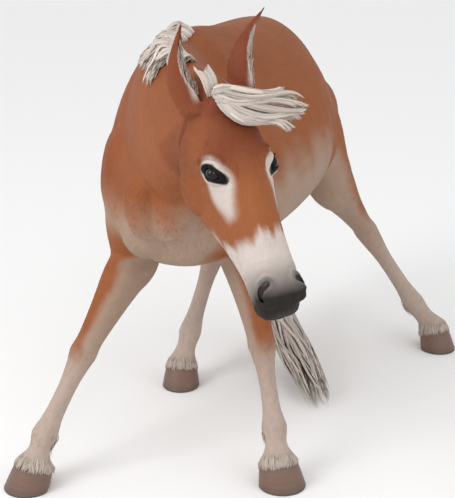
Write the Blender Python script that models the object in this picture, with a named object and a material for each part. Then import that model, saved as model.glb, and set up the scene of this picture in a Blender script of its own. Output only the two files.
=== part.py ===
# A life-size standing mule: a broad chestnut draft mule with its forelegs spread and its head lowered to the left.
# The body is modelled whole from swept sections and muscle masses, made one surface, then parted with thin cuts.
# Body frame: +X to the animal's left, +Y to its tail, +Z up, with the ground under the withers at (0, 0, 0).
import math

import bmesh
import bpy
import numpy as np
from mathutils import Matrix, Vector
from mathutils.bvhtree import BVHTree

# The object stands with the middle of its box's underside at the world origin.
SHIFT = (-0.156, -0.274, 0.0)
GAP = 0.0003

# Head: the origin is on the forehead line at the poll. Rows of HEAD_STATIONS run from the poll to the lips.
HEAD_ORIGIN = (0.348, -0.580, 1.372)
HEAD_YAW = 51.5
HEAD_NOSE_DOWN = 55.5
HEAD_ROLL = 4.0
# (along, top, top half width, widest half width, height of the widest, low half width, bottom)
HEAD_STATIONS = (
    (-0.040, -0.050, 0.030, 0.062, -0.120, 0.055, -0.190),
    (0.000, -0.014, 0.040, 0.076, -0.095, 0.068, -0.225),
    (0.060, 0.002, 0.054, 0.094, -0.085, 0.086, -0.268),
    (0.120, 0.008, 0.064, 0.104, -0.078, 0.092, -0.294),
    (0.180, 0.010, 0.066, 0.108, -0.072, 0.091, -0.302),
    (0.240, 0.010, 0.059, 0.099, -0.078, 0.084, -0.298),
    (0.300, 0.009, 0.051, 0.086, -0.083, 0.076, -0.276),
    (0.360, 0.006, 0.047, 0.076, -0.083, 0.065, -0.239),
    (0.420, 0.001, 0.046, 0.071, -0.077, 0.058, -0.205),
    (0.480, -0.006, 0.047, 0.070, -0.069, 0.054, -0.178),
    (0.535, -0.013, 0.051, 0.072, -0.064, 0.052, -0.160),
    (0.580, -0.024, 0.049, 0.070, -0.070, 0.050, -0.155),
    (0.612, -0.042, 0.040, 0.058, -0.082, 0.041, -0.145),
)
EYE_ALONG, EYE_HEIGHT, EYE_SIDE = 0.210, -0.046, 0.084
EYE_RADIUS = 0.0245
NOSTRIL_ALONG, NOSTRIL_HEIGHT, NOSTRIL_SIDE = 0.565, -0.045, 0.055
MOUTH_HEIGHT = -0.108

# Ears: where the base sits in the head frame, and in the body frame the way each one points and opens.
EAR_LENGTH = 0.268
EAR_DEPTH = 1.40
EAR_ROOT_SHARE, EAR_ROOT_RADIUS = -0.1, 0.021
EAR_WALL = 0.0055
EARS = {
    "ear_right": {"root": (-0.046, 0.050, -0.100), "base": (-0.078, 0.028, -0.062), "points": (-0.245, 0.302, 0.92), "opens": (0.99, 0.05, 0.10)},
    "ear_left": {"root": (0.048, 0.040, -0.080), "base": (0.074, 0.012, -0.045), "points": (0.12, 0.365, 0.93), "opens": (0.97, 0.20, 0.04)},
}
# (share of the length, radius, how far the cup closes round, in degrees from the back)
EAR_STATIONS = (
    (0.00, 0.027, 160), (0.10, 0.031, 152), (0.22, 0.035, 135), (0.36, 0.036, 115),
    (0.52, 0.031, 102), (0.68, 0.023, 94), (0.83, 0.0145, 90), (0.95, 0.0068, 86), (1.00, 0.0030, 84),
)

# Neck stations: (x, y, z, half height, half width)
NECK = (
    (0.000, 0.120, 1.050, 0.340, 0.180),
    (0.010, -0.060, 1.100, 0.330, 0.180),
    (0.050, -0.200, 1.170, 0.262, 0.140),
    (0.125, -0.340, 1.225, 0.200, 0.108),
    (0.215, -0.450, 1.262, 0.158, 0.090),
    (0.295, -0.530, 1.280, 0.130, 0.080),
    (0.350, -0.580, 1.285, 0.105, 0.072),
)

# Torso stations along the spine: (y, x, top, height of the widest, bottom, half width, power of the upper curve)
TORSO = (
    (-0.250, 0.005, 1.080, 0.900, 0.780, 0.120, 1.10),
    (-0.190, 0.005, 1.220, 0.870, 0.705, 0.185, 1.15),
    (-0.100, -0.004, 1.345, 0.850, 0.660, 0.242, 1.08),
    (0.020, -0.010, 1.418, 0.845, 0.640, 0.282, 1.10),
    (0.150, -0.008, 1.412, 0.850, 0.622, 0.300, 1.15),
    (0.300, -0.008, 1.382, 0.880, 0.612, 0.318, 1.08),
    (0.450, -0.005, 1.362, 0.905, 0.612, 0.332, 1.00),
    (0.600, -0.005, 1.350, 0.925, 0.622, 0.338, 1.00),
    (0.750, -0.010, 1.337, 0.905, 0.655, 0.322, 1.05),
    (0.900, -0.018, 1.312, 0.860, 0.710, 0.290, 1.20),
    (1.040, -0.022, 1.270, 0.850, 0.765, 0.250, 1.25),
    (1.160, -0.020, 1.195, 0.870, 0.800, 0.195, 1.20),
    (1.250, -0.015, 1.110, 0.920, 0.850, 0.120, 1.00),
)

# Muscle masses on both sides: (side, y, z, half width, half length, half height, tilt in degrees about the side axis)
MASSES = {
    "shoulder": (0.165, -0.030, 0.915, 0.105, 0.150, 0.225, 16),
    "breast": (0.076, -0.172, 0.820, 0.086, 0.078, 0.120, 0),
    "thigh": (0.148, 0.920, 0.920, 0.112, 0.180, 0.180, -14),
}
# Long muscles of each hind leg, (x as a share of the side, y, z) then (front to back, side) half sizes at each point:
# the hamstrings from the point of the buttock to the gaskin, and the thigh's front edge from the hip to the stifle.
LONG_MUSCLES = {
    "hindleg_right": (
        (((0.060, 1.150, 1.050), (0.115, 1.080, 0.900), (0.165, 0.930, 0.740), (0.180, 0.790, 0.590)),
         ((0.070, 0.065), (0.120, 0.085), (0.105, 0.070), (0.045, 0.040))),
        (((0.130, 0.820, 1.100), (0.190, 0.740, 0.930), (0.205, 0.690, 0.770)),
         ((0.080, 0.060), (0.100, 0.075), (0.070, 0.060))),
    ),
    "hindleg_left": (
        (((0.060, 1.150, 1.050), (0.120, 1.120, 0.900), (0.195, 1.030, 0.740), (0.262, 0.985, 0.600)),
         ((0.070, 0.065), (0.115, 0.085), (0.100, 0.070), (0.045, 0.040))),
        (((0.140, 0.860, 1.090), (0.218, 0.850, 0.920), (0.272, 0.850, 0.740)),
         ((0.080, 0.070), (0.115, 0.078), (0.080, 0.066))),
    ),
}

# Leg joints: root inside the body, elbow or stifle, knee or hock, fetlock, then the hoof's middle on the ground.
LEGS = {
    "foreleg_right": {
        "joints": ((-0.165, 0.000, 0.960), (-0.172, -0.030, 0.650), (-0.247, -0.300, 0.394),
                   (-0.320, -0.462, 0.164), (-0.350, -0.532, 0.0)),
        "toe_out": 30, "kind": "fore",
    },
    "foreleg_left": {
        "joints": ((0.165, 0.020, 1.000), (0.188, 0.000, 0.735), (0.300, -0.085, 0.414),
                   (0.376, -0.180, 0.175), (0.424, -0.244, 0.0)),
        "toe_out": 46, "kind": "fore",
    },
    "hindleg_right": {
        "joints": ((-0.135, 0.900, 0.960), (-0.212, 0.690, 0.760), (-0.163, 0.735, 0.420),
                   (-0.156, 0.450, 0.200), (-0.169, 0.375, 0.0)),
        "toe_out": -14, "kind": "hind",
    },
    "hindleg_left": {
        "joints": ((0.130, 0.930, 0.960), (0.262, 0.850, 0.710), (0.340, 1.120, 0.437),
                   (0.549, 1.100, 0.165), (0.666, 1.047, 0.0)),
        "toe_out": 50, "kind": "hind",
    },
}
# Leg stations: (bone, share along it, front, back, side)
LEG_STATIONS = {
    "fore": (
        (0, 0.00, 0.150, 0.160, 0.085), (0, 0.55, 0.130, 0.150, 0.092), (1, 0.00, 0.088, 0.112, 0.080),
        (1, 0.25, 0.076, 0.078, 0.070), (1, 0.55, 0.056, 0.056, 0.056), (1, 0.85, 0.043, 0.041, 0.046),
        (2, 0.00, 0.045, 0.046, 0.048), (2, 0.14, 0.037, 0.041, 0.040), (2, 0.40, 0.029, 0.036, 0.030),
        (2, 0.75, 0.030, 0.038, 0.030), (2, 0.93, 0.037, 0.047, 0.038), (3, 0.05, 0.040, 0.051, 0.043),
        (3, 0.50, 0.034, 0.036, 0.037), (3, 0.85, 0.049, 0.047, 0.052), (3, 1.00, 0.061, 0.058, 0.061),
    ),
    "hind": (
        (0, 0.00, 0.100, 0.130, 0.070), (0, 0.55, 0.130, 0.160, 0.095), (1, 0.00, 0.112, 0.150, 0.090),
        (1, 0.25, 0.082, 0.120, 0.074), (1, 0.55, 0.056, 0.078, 0.056), (1, 0.85, 0.043, 0.052, 0.044),
        (2, 0.00, 0.045, 0.052, 0.047), (2, 0.15, 0.039, 0.046, 0.041), (2, 0.40, 0.030, 0.038, 0.031),
        (2, 0.75, 0.031, 0.038, 0.031), (2, 0.93, 0.038, 0.047, 0.038), (3, 0.05, 0.040, 0.050, 0.042),
        (3, 0.50, 0.034, 0.036, 0.036), (3, 0.85, 0.047, 0.045, 0.049), (3, 1.00, 0.057, 0.054, 0.057),
    ),
}
# Where each leg is parted from the trunk: (share of the bone below the elbow or stifle, half width of the cutter)
LEG_CUT = {
    "foreleg_right": (0.27, 0.17), "foreleg_left": (0.33, 0.13),
    "hindleg_right": (0.48, 0.13), "hindleg_left": (0.38, 0.16),
}
NECK_CUT = {"centre": (0.030, -0.165, 1.190), "normal": (0.16, -0.90, 0.40)}
HEAD_CUT = {"along": -0.004, "height": -0.120, "tilt": 24}
KNEE_DROP = 0.020
TRUNK_TRIANGLES = 2640
LEG_TRIANGLES = 5480
HEAD_TRIANGLES = 1900
HOCK_POINT = {"back": 0.052, "up": 0.058, "radius": 0.026}

# Clean up: edges shorter and triangles flatter than these are merged, so that each solid is sound.
SHORT_EDGE = 0.0004
THIN_TRIANGLE = 0.00006

# Locks of hair: how many, how wide and how thick they are, and how far their roots are sunk into the body.
LOCK_SUNK = 0.012
MANE = {"layers": 2, "count": 8, "length": 0.25, "width": 0.068, "thick": 0.012, "wave": 0.016}
FORELOCK = {"layers": 2, "count": 4, "width": 0.056, "thick": 0.012, "tufts": 2, "wave": 0.008}
TAIL = {"count": 8, "points": 6, "width": 0.074, "thick": 0.018, "core": 0.50, "parted": 0.40}
TAIL_PATH = (
    (-0.014, 1.210, 1.115), (-0.030, 1.295, 1.030), (-0.060, 1.310, 0.880), (-0.092, 1.265, 0.700),
    (-0.112, 1.165, 0.520), (-0.088, 1.040, 0.350), (-0.015, 0.920, 0.230), (0.080, 0.800, 0.150),
    (0.182, 0.655, 0.102), (0.285, 0.500, 0.068), (0.390, 0.330, 0.034),
)
FRINGE = {"count": 10, "width": 0.043, "thick": 0.0055, "drop": 0.017}

# Materials: base colour and roughness
COATS = {
    "coat": ("coat", (0.330, 0.130, 0.060), 0.75),
    "hoof": ("hoof", (0.120, 0.075, 0.062), 0.50),
    "eye": ("eye", (0.010, 0.007, 0.006), 0.06),
    "hair": ("hair", (0.560, 0.500, 0.430), 0.80),
}
NODE_COATS = {"forehoof": "hoof", "hindhoof": "hoof", "eye": "eye", "tail": "hair"}

# Hooves: half width and half length on the ground and at the coronet, the coronet's height, and how far it lies back.
HOOF = {
    "fore": {"ground": (0.079, 0.080), "coronet": (0.062, 0.062), "height": 0.078, "rake": 0.031},
    "hind": {"ground": (0.070, 0.074), "coronet": (0.057, 0.057), "height": 0.076, "rake": 0.029},
}
CORONET_SLOPE = 17


def unit(v):
    v = np.asarray(v, float)
    return v / np.linalg.norm(v)


def head_axes():
    """Side (to the animal's left), along (poll to lips) and height (out of the forehead), as unit vectors."""
    yaw, down, roll = (math.radians(a) for a in (HEAD_YAW, HEAD_NOSE_DOWN, HEAD_ROLL))
    ahead = np.array([math.sin(yaw), -math.cos(yaw), 0.0])
    left = np.array([math.cos(yaw), math.sin(yaw), 0.0])
    along = math.cos(down) * ahead + math.sin(down) * np.array([0, 0, -1.0])
    height = np.cross(along, left)
    left, height = math.cos(roll) * left + math.sin(roll) * height, math.cos(roll) * height - math.sin(roll) * left
    return left, along, height


SIDE, ALONG, HEIGHT = head_axes()


def in_head(side, along, height):
    return np.array(HEAD_ORIGIN) + side * SIDE + along * ALONG + height * HEIGHT


def smooth_rows(rows, steps):
    """Catmull-Rom curve through rows of numbers, with steps spans between one row and the next."""
    rows = np.asarray(rows, float)
    padded = np.vstack([2 * rows[0] - rows[1], rows, 2 * rows[-1] - rows[-2]])
    t = np.arange(steps)[:, None] / steps
    out = []
    for a, b, c, d in zip(padded, padded[1:], padded[2:], padded[3:]):
        out.append(0.5 * (2 * b + (c - a) * t + (2 * a - 5 * b + 4 * c - d) * t**2 + (3 * b - a - 3 * c + d) * t**3))
    return np.vstack([*out, rows[-1]])


def closed_tube(rings):
    """Vertices and faces of a tube from a list of equal rings, its two ends closed with a fan."""
    rings = np.asarray(rings, float)
    count, sides = rings.shape[:2]
    points = np.vstack([rings.reshape(-1, 3), rings[0].mean(0), rings[-1].mean(0)])
    faces = []
    for i in range(count - 1):
        for j in range(sides):
            k = (j + 1) % sides
            faces.append((i * sides + j, i * sides + k, (i + 1) * sides + k, (i + 1) * sides + j))
    first, last = count * sides, count * sides + 1
    for j in range(sides):
        k = (j + 1) % sides
        faces.append((first, k, j))
        faces.append((last, (count - 1) * sides + j, (count - 1) * sides + k))
    return points, faces


def domed(rings, share=0.55):
    """Adds two smaller rings past each end, so that the tube closes round."""
    rings = [np.asarray(r, float) for r in rings]
    for end, step in ((0, -1), (-1, 1)):
        ring = rings[end]
        middle, other = ring.mean(0), rings[1 if end == 0 else -2].mean(0)
        out = unit(middle - other)
        reach = share * np.linalg.norm(ring - middle, axis=1).min()
        caps = [middle + (ring - middle) * c + out * reach * s for c, s in ((0.86, 0.5), (0.5, 0.87))]
        rings = caps[::-1] + rings if step < 0 else rings + caps
    return rings


def frames_along(centres, fronts):
    """For each centre of a path: the tangent, the front direction square to it, and the side direction."""
    tangents = np.gradient(centres, axis=0)
    tangents /= np.linalg.norm(tangents, axis=1)[:, None]
    fronts = fronts - (fronts * tangents).sum(1)[:, None] * tangents
    fronts /= np.linalg.norm(fronts, axis=1)[:, None]
    return tangents, fronts, np.cross(tangents, fronts)


def rings_of(centres, fronts, front, back, side, sides):
    """Elliptical rings whose front and back halves have their own depth."""
    _, ahead, across = frames_along(centres, fronts)
    turn = np.linspace(0, 2 * math.pi, sides, endpoint=False)
    rings = []
    for c, a, s, f, b, w in zip(centres, ahead, across, front, back, side):
        depth = np.where(np.sin(turn) > 0, f, b) * np.sin(turn)
        rings.append(c + np.outer(w * np.cos(turn), s) + np.outer(depth, a))
    return rings


def mesh_object(name, parts):
    """One object holding several closed shells."""
    points, faces, start = [], [], 0
    for part_points, part_faces in parts:
        points += [tuple(p) for p in part_points]
        faces += [tuple(i + start for i in f) for f in part_faces]
        start += len(part_points)
    mesh = bpy.data.meshes.new(name)
    mesh.from_pydata(points, [], faces)
    shape = bmesh.new()
    shape.from_mesh(mesh)
    bmesh.ops.recalc_face_normals(shape, faces=shape.faces)
    bmesh.ops.triangulate(shape, faces=shape.faces, ngon_method="EAR_CLIP")
    shape.to_mesh(mesh)
    shape.free()
    obj = bpy.data.objects.new(name, mesh)
    bpy.context.scene.collection.objects.link(obj)
    return obj


def ellipsoid(centre, radii, turned=Matrix.Identity(3), rings=10, sides=16):
    """A closed ellipsoid as (points, faces). turned holds its own axes as columns."""
    turned = np.array(turned)
    lats = np.linspace(0, math.pi, rings + 1)[1:-1]
    turn = np.linspace(0, 2 * math.pi, sides, endpoint=False)
    layers = []
    for lat in lats:
        local = np.stack([math.sin(lat) * np.cos(turn), math.sin(lat) * np.sin(turn), np.full(sides, math.cos(lat))])
        layers.append(np.array(centre) + (turned @ (local * np.array(radii)[:, None])).T)
    points, faces = closed_tube(layers)
    points[-2] = np.array(centre) + turned @ np.array([0, 0, radii[2]])
    points[-1] = np.array(centre) - turned @ np.array([0, 0, radii[2]])
    return points, faces


def torso():
    rows = smooth_rows(TORSO, 4)
    turn = np.linspace(0, 2 * math.pi, 36, endpoint=False)
    across, lift = np.cos(turn), np.sin(turn)
    rings = []
    for y, x, top, middle, bottom, width, power in rows:
        # A power above 1 draws the upper curve in toward a roof, as over the withers and the croup.
        shape = np.where(lift > 0, power, 1.0)
        side = x + width * np.sign(across) * np.abs(across) ** shape
        reach = np.where(lift > 0, top - middle, middle - bottom)
        height = middle + reach * np.sign(lift) * np.abs(lift) ** shape
        rings.append(np.stack([side, np.full(36, y), height], axis=1))
    return closed_tube(domed(rings))


def neck():
    rows = smooth_rows(NECK, 4)
    up = np.tile([0.0, 0.0, 1.0], (len(rows), 1))
    rings = rings_of(rows[:, :3], up, rows[:, 3], rows[:, 3], rows[:, 4], 28)
    return closed_tube(domed(rings))


def head_ring(row):
    """Half outline of a head section from its named points, mirrored: top, upper edge, widest, low edge, bottom."""
    along, top, top_wide, wide, wide_at, low_wide, bottom = row
    shoulder = top - 0.22 * (top - wide_at)
    jaw = wide_at + 0.72 * (bottom - wide_at)
    half = np.array([
        (0.0, top), (top_wide, shoulder), (wide, wide_at), (low_wide, jaw), (0.0, bottom),
        (-low_wide, jaw), (-wide, wide_at), (-top_wide, shoulder), (0.0, top),
    ])
    loop = smooth_rows(np.vstack([half[-2], half, half[1]]), 4)[4:-5]
    return np.array([in_head(s, along, h) for s, h in loop])


def head():
    rows = smooth_rows(HEAD_STATIONS, 3)
    return closed_tube(domed([head_ring(r) for r in rows], 0.45))


def toe_direction(leg):
    """The way that the hoof points on the ground. A positive toe_out turns it away from the body."""
    side = 1 if leg["joints"][0][0] > 0 else -1
    turn = math.radians(leg["toe_out"])
    return np.array([side * math.sin(turn), -math.cos(turn), 0.0])


def coronet_frame(leg):
    """Middle of the coronet, and its three axes: side, back and the normal that points up the leg."""
    size = HOOF[leg["kind"]]
    toe = toe_direction(leg)
    slope = math.radians(CORONET_SLOPE)
    up = math.cos(slope) * np.array([0, 0, 1.0]) - math.sin(slope) * toe
    middle = np.array(leg["joints"][4]) - toe * size["rake"] + np.array([0, 0, size["height"]])
    back = -unit(toe - (toe @ up) * up)
    return middle, np.cross(back, up), back, up


def leg_tube(leg):
    joints = [np.array(j, float) for j in leg["joints"][:4]] + [coronet_frame(leg)[0]]
    toe = toe_direction(leg)
    ahead = np.array([0.0, -1.0, 0.0])
    rows, fronts = [], []
    for bone, share, front, back, side in LEG_STATIONS[leg["kind"]]:
        centre = joints[bone] + share * (joints[bone + 1] - joints[bone])
        rows.append((*centre, front, back, side))
        blend = min(1.0, (bone + share) / 3)
        fronts.append(unit((1 - blend) * ahead + blend * toe))
    rows = smooth_rows(rows, 3)
    fronts = smooth_rows(fronts, 3)
    rings = rings_of(rows[:, :3], fronts, rows[:, 3], rows[:, 4], rows[:, 5], 20)
    _, side, back, up = coronet_frame(leg)
    size = HOOF[leg["kind"]]["coronet"]
    turn = np.linspace(0, 2 * math.pi, 20, endpoint=False)
    last = rings[-1]
    flat = joints[4] + np.outer(size[0] * np.cos(turn), side) - np.outer(size[1] * np.sin(turn), back)
    if np.dot(flat[0] - joints[4], last[0] - joints[4]) < 0:
        flat = joints[4] - np.outer(size[0] * np.cos(turn), side) - np.outer(size[1] * np.sin(turn), back)
    below = flat - up * 0.03
    return closed_tube([*rings[:-1], flat, below])


def hock_point(leg):
    """The heel bone's knob behind the hock, with the tendon that runs up to it."""
    _, stifle, hock, fetlock = [np.array(j, float) for j in leg["joints"][:4]]
    up = unit(stifle - hock)
    shin = unit(hock - fetlock)
    back = unit(shin - (shin @ up) * up)
    knob = hock + back * HOCK_POINT["back"] + up * HOCK_POINT["up"]
    high = stifle + 0.42 * (hock - stifle) + back * 0.055
    centres = smooth_rows([high, 0.5 * (high + knob) + back * 0.004, knob], 3)
    across = np.tile(unit(np.cross(up, back)), (len(centres), 1))
    size = np.interp(np.linspace(0, 1, len(centres)), (0, 0.6, 1), (0.030, 0.015, 0.020))
    tendon = closed_tube(domed(rings_of(centres, across, size * 0.7, size * 0.7, size, 10)))
    radius = HOCK_POINT["radius"]
    return [tendon, ellipsoid(knob - up * 0.008, (radius, radius, radius * 1.25), rings=6, sides=10)]


def long_muscles(name):
    """Tapered tubes along each long muscle, laid from front to back in the leg's own plane."""
    side = 1 if LEGS[name]["joints"][0][0] > 0 else -1
    shells = []
    for points, sizes in LONG_MUSCLES[name]:
        path = smooth_rows([(side * x, y, z) for x, y, z in points], 4)
        size = smooth_rows(sizes, 4)
        fronts = np.tile([0.0, -1.0, 0.0], (len(path), 1))
        shells.append(closed_tube(domed(rings_of(path, fronts, size[:, 0], size[:, 0], size[:, 1], 16), 0.8)))
    return shells


def masses():
    out = []
    for side, y, z, width, length, height, tilt in MASSES.values():
        turned = Matrix.Rotation(math.radians(tilt), 3, "X")
        for sign in (-1, 1):
            out.append(ellipsoid((sign * side, y, z), (width, length, height), turned))
    return out


def head_shells():
    """The skull and the soft masses that lie on it, for a finer surface than the trunk's."""
    turned = Matrix([SIDE, ALONG, HEIGHT]).transposed()
    shells = [head(), neck()]
    for sign in (-1, 1):
        eye = eye_centre(sign)
        outward = eye_axes(sign)[0]
        shells += [
            ellipsoid(eye + outward * 0.002, [EYE_RADIUS + 0.0065] * 3, rings=12, sides=20),
            ellipsoid(in_head(sign * 0.066, 0.186, -0.026), (0.028, 0.046, 0.020), turned),
            ellipsoid(in_head(sign * 0.074, 0.200, -0.190), (0.038, 0.085, 0.085), turned),
            ellipsoid(in_head(sign * NOSTRIL_SIDE, NOSTRIL_ALONG + 0.004, -0.052), (0.023, 0.034, 0.026), turned),
            ellipsoid(in_head(sign * 0.030, 0.602, -0.088), (0.034, 0.030, 0.024), turned),
            ellipsoid(in_head(sign * 0.026, 0.585, -0.127), (0.030, 0.036, 0.020), turned),
        ]
        crest = [in_head(sign * side, along, height) for side, along, height in (
            (0.088, 0.235, -0.100), (0.081, 0.280, -0.098), (0.069, 0.325, -0.094), (0.060, 0.360, -0.090))]
        path = smooth_rows(crest, 3)
        size = np.linspace(0.012, 0.006, len(path))
        shells.append(closed_tube(domed(rings_of(path, np.tile(HEIGHT, (len(path), 1)), size, size, size, 10))))
    shells.append(ellipsoid(in_head(0, 0.548, -0.138), (0.034, 0.036, 0.022), turned))
    return shells


def eye_centre(sign):
    return in_head(sign * EYE_SIDE, EYE_ALONG, EYE_HEIGHT)


def eye_axes(sign):
    """Out of the eye, along its opening from the outer to the inner corner, and up across the lids."""
    outward = unit(sign * 0.87 * SIDE + 0.46 * HEIGHT - 0.08 * ALONG)
    inner = unit(0.64 * ALONG + 0.77 * unit(0.87 * HEIGHT - sign * 0.46 * SIDE))
    inner = unit(inner - (inner @ outward) * outward)
    return outward, inner, np.cross(outward, inner) * -sign


def body_shells():
    shells = [torso(), neck(), *masses()]
    for name, leg in LEGS.items():
        shells.append(leg_tube(leg))
        if leg["kind"] == "hind":
            shells += hock_point(leg) + long_muscles(name)
    return shells


def bake(obj):
    """Applies the object's modifiers."""
    state = bpy.context.evaluated_depsgraph_get()
    mesh = bpy.data.meshes.new_from_object(obj.evaluated_get(state))
    obj.modifiers.clear()
    obj.data = mesh
    return obj


def one_surface(obj, voxel, smoothing, triangles):
    """Voxel remesh of all the shells to one skin, smoothed, then thinned to about a number of triangles."""
    remesh = obj.modifiers.new("one_surface", "REMESH")
    remesh.mode = "VOXEL"
    remesh.voxel_size = voxel
    smooth = obj.modifiers.new("smooth", "SMOOTH")
    smooth.factor = 0.5
    smooth.iterations = smoothing
    bake(obj)
    thin = obj.modifiers.new("thin", "DECIMATE")
    thin.ratio = triangles / (2 * len(obj.data.polygons))
    return bake(obj)


def boolean(obj, other, operation, near=None, solver="MANIFOLD"):
    """Cuts or meets obj with another closed object or list of objects, which are then removed."""
    others = other if isinstance(other, list) else [other]
    group = bpy.data.collections.new("cutters")
    for item in others:
        group.objects.link(item)
    modifier = obj.modifiers.new("boolean", "BOOLEAN")
    modifier.operation = operation
    modifier.solver = solver
    modifier.operand_type = "COLLECTION"
    modifier.collection = group
    bake(obj)
    for item in others:
        bpy.data.objects.remove(item)
    bpy.data.collections.remove(group)
    return largest(obj, near)


def largest(obj, near=None):
    """Keeps only the largest closed surface of a mesh, or the one that comes nearest a point, as triangles."""
    shape = bmesh.new()
    shape.from_mesh(obj.data)
    bmesh.ops.triangulate(shape, faces=shape.faces, ngon_method="EAR_CLIP")
    left, groups = set(shape.verts), []
    while left:
        stack, group = [left.pop()], []
        while stack:
            vert = stack.pop()
            group.append(vert)
            for edge in vert.link_edges:
                other = edge.other_vert(vert)
                if other in left:
                    left.remove(other)
                    stack.append(other)
        groups.append(group)
    groups.sort(key=len if near is None else lambda group: -min((v.co - near).length for v in group))
    bmesh.ops.delete(shape, geom=[v for g in groups[:-1] for v in g], context="VERTS")
    shape.to_mesh(obj.data)
    shape.free()
    return obj


def tidied(obj):
    """Merges the ends of very short edges and turns the long edge of very thin triangles, keeping the mesh closed."""
    shape = bmesh.new()
    shape.from_mesh(obj.data)
    for _ in range(6):
        changed = 0
        for edge in sorted(shape.edges, key=lambda e: e.calc_length()):
            if not edge.is_valid or edge.calc_length() > SHORT_EDGE:
                continue
            a, b = edge.verts
            ring_a = {e.other_vert(a) for e in a.link_edges}
            ring_b = {e.other_vert(b) for e in b.link_edges}
            if len(ring_a & ring_b) == 2 and len(ring_a | ring_b) > 5:
                bmesh.ops.pointmerge(shape, verts=[a, b], merge_co=(a.co + b.co) / 2)
                changed += 1
        for face in list(shape.faces):
            if not face.is_valid:
                continue
            edge = max(face.edges, key=lambda e: e.calc_length())
            if 2 * face.calc_area() / max(edge.calc_length(), 1e-9) > THIN_TRIANGLE:
                continue
            ends = [next(v for v in f.verts if v not in edge.verts) for f in edge.link_faces]
            if ends[0] not in {e.other_vert(ends[1]) for e in ends[1].link_edges}:
                changed += bmesh.utils.edge_rotate(edge, True) is not None
        if not changed:
            break
    shape.to_mesh(obj.data)
    shape.free()
    return obj


def copy_of(obj, name):
    twin = obj.copy()
    twin.data = obj.data.copy()
    twin.name = name
    bpy.context.scene.collection.objects.link(twin)
    return twin


def swollen(obj, gap):
    """A copy pushed out along its normals by the gap, used to cut a neighbour clear of it."""
    twin = copy_of(obj, obj.name + "_swollen")
    push = twin.modifiers.new("push", "DISPLACE")
    push.strength = gap
    push.mid_level = 0.0
    return bake(twin)


def block(centre, normal, half, length, gap=0.0, spread=1.0):
    """A closed box with one face square to normal at centre plus gap, running length beyond and widening by spread."""
    normal = unit(normal)
    seed = np.array([1.0, 0, 0]) if abs(normal[0]) < 0.8 else np.array([0, 1.0, 0])
    a = unit(np.cross(normal, seed))
    b = np.cross(normal, a)
    start = np.array(centre) + normal * gap
    corners = ((1, 1), (-1, 1), (-1, -1), (1, -1))
    rings = [[start + normal * d + wide * (u * a + v * b) for u, v in corners]
             for d, wide in ((0.0, half), (length, half * spread))]
    return mesh_object("block", [closed_tube(rings)])


def leg_cut(name):
    leg = LEGS[name]
    share, half = LEG_CUT[name]
    top, low = np.array(leg["joints"][1]), np.array(leg["joints"][2])
    return top + share * (low - top), unit(low - top), half


def knee_cut(name):
    """Just below the knee or hock, square to the mean of the bones above and below it."""
    high, knee, low = [np.array(j, float) for j in LEGS[name]["joints"][1:4]]
    return knee + unit(low - knee) * KNEE_DROP, unit(unit(knee - high) + unit(low - knee))


def tail_cut():
    """The point and direction where the tail's upper and lower nodes meet."""
    way = smooth_rows(TAIL_PATH, 6)
    at = int(len(way) * TAIL["parted"])
    return way[at], unit(way[at + 1] - way[at - 1])


def head_cut():
    tilt = math.radians(HEAD_CUT["tilt"])
    normal = math.cos(tilt) * ALONG + math.sin(tilt) * HEIGHT
    return in_head(0, HEAD_CUT["along"], HEAD_CUT["height"]), normal


def hoof(name):
    leg = LEGS[name]
    size = HOOF[leg["kind"]]
    middle, side, back, up = coronet_frame(leg)
    toe = toe_direction(leg)
    level = np.cross(np.array([0, 0, 1.0]), toe)
    if level @ side < 0:
        level = -level
    ground = np.array(leg["joints"][4])
    turn = np.linspace(0, 2 * math.pi, 18, endpoint=False)
    # The heel is drawn in a little, so that the sole is the rounded shield of a hoof and no plain ellipse.
    across, ahead = np.cos(turn), np.sin(turn)
    ahead = np.where(ahead < 0, ahead * 0.88, ahead)
    across = across * np.where(np.sin(turn) < -0.4, 0.90, 1.0)
    sole = ground + size["ground"][0] * np.outer(across, level) + size["ground"][1] * np.outer(ahead, toe)
    top = middle - up * GAP
    crown = top + size["coronet"][0] * np.outer(np.cos(turn), side) - size["coronet"][1] * np.outer(np.sin(turn), back)
    rings = [0.97 * sole + 0.03 * ground, sole + [0, 0, 0.004]]
    for share in (0.40, 0.90):
        rings.append((1 - share) * (sole + [0, 0, 0.004]) + share * crown)
    rings.append(top + (crown - top) * 0.985)
    return mesh_object(name.replace("leg", "hoof"), [closed_tube(rings)])


def ear(name):
    spec = EARS[name]
    points, opens = unit(spec["points"]), np.array(spec["opens"], float)
    back = -unit(opens - (opens @ points) * points)
    side = np.cross(points, back)
    base = in_head(*spec["base"])
    root = in_head(*spec["root"])
    rings = []
    for share, radius, closing in ((EAR_ROOT_SHARE, EAR_ROOT_RADIUS, 162), *EAR_STATIONS):
        # The ear leans gently back over its length, then its tip hooks forward.
        centre = base + points * EAR_LENGTH * share + back * 0.022 * math.sin(math.pi * share)
        if share == EAR_ROOT_SHARE:
            centre = root
        wall = min(EAR_WALL, 0.45 * radius)
        turn = np.radians(np.linspace(-closing, closing, 11))
        arc = np.outer(np.sin(turn), side) + EAR_DEPTH * np.outer(np.cos(turn), back)
        rings.append(np.vstack([centre + radius * arc, centre + (radius - wall) * arc[::-1]]))
    return rings


def ear_object(name):
    rings = ear(name)
    points, faces = closed_tube(rings)
    # The ends are closed across the thin wall, from each outer point to the inner point beside it.
    faces = [f for f in faces if len(f) == 4]
    across = len(rings[0])
    half = across // 2
    for start, flip in ((0, 1), ((len(rings) - 1) * across, -1)):
        for i in range(half - 1):
            quad = (start + i, start + i + 1, start + across - 2 - i, start + across - 1 - i)
            faces.append(quad[::flip])
    return mesh_object(name, [(points[:-2], faces)])


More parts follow.
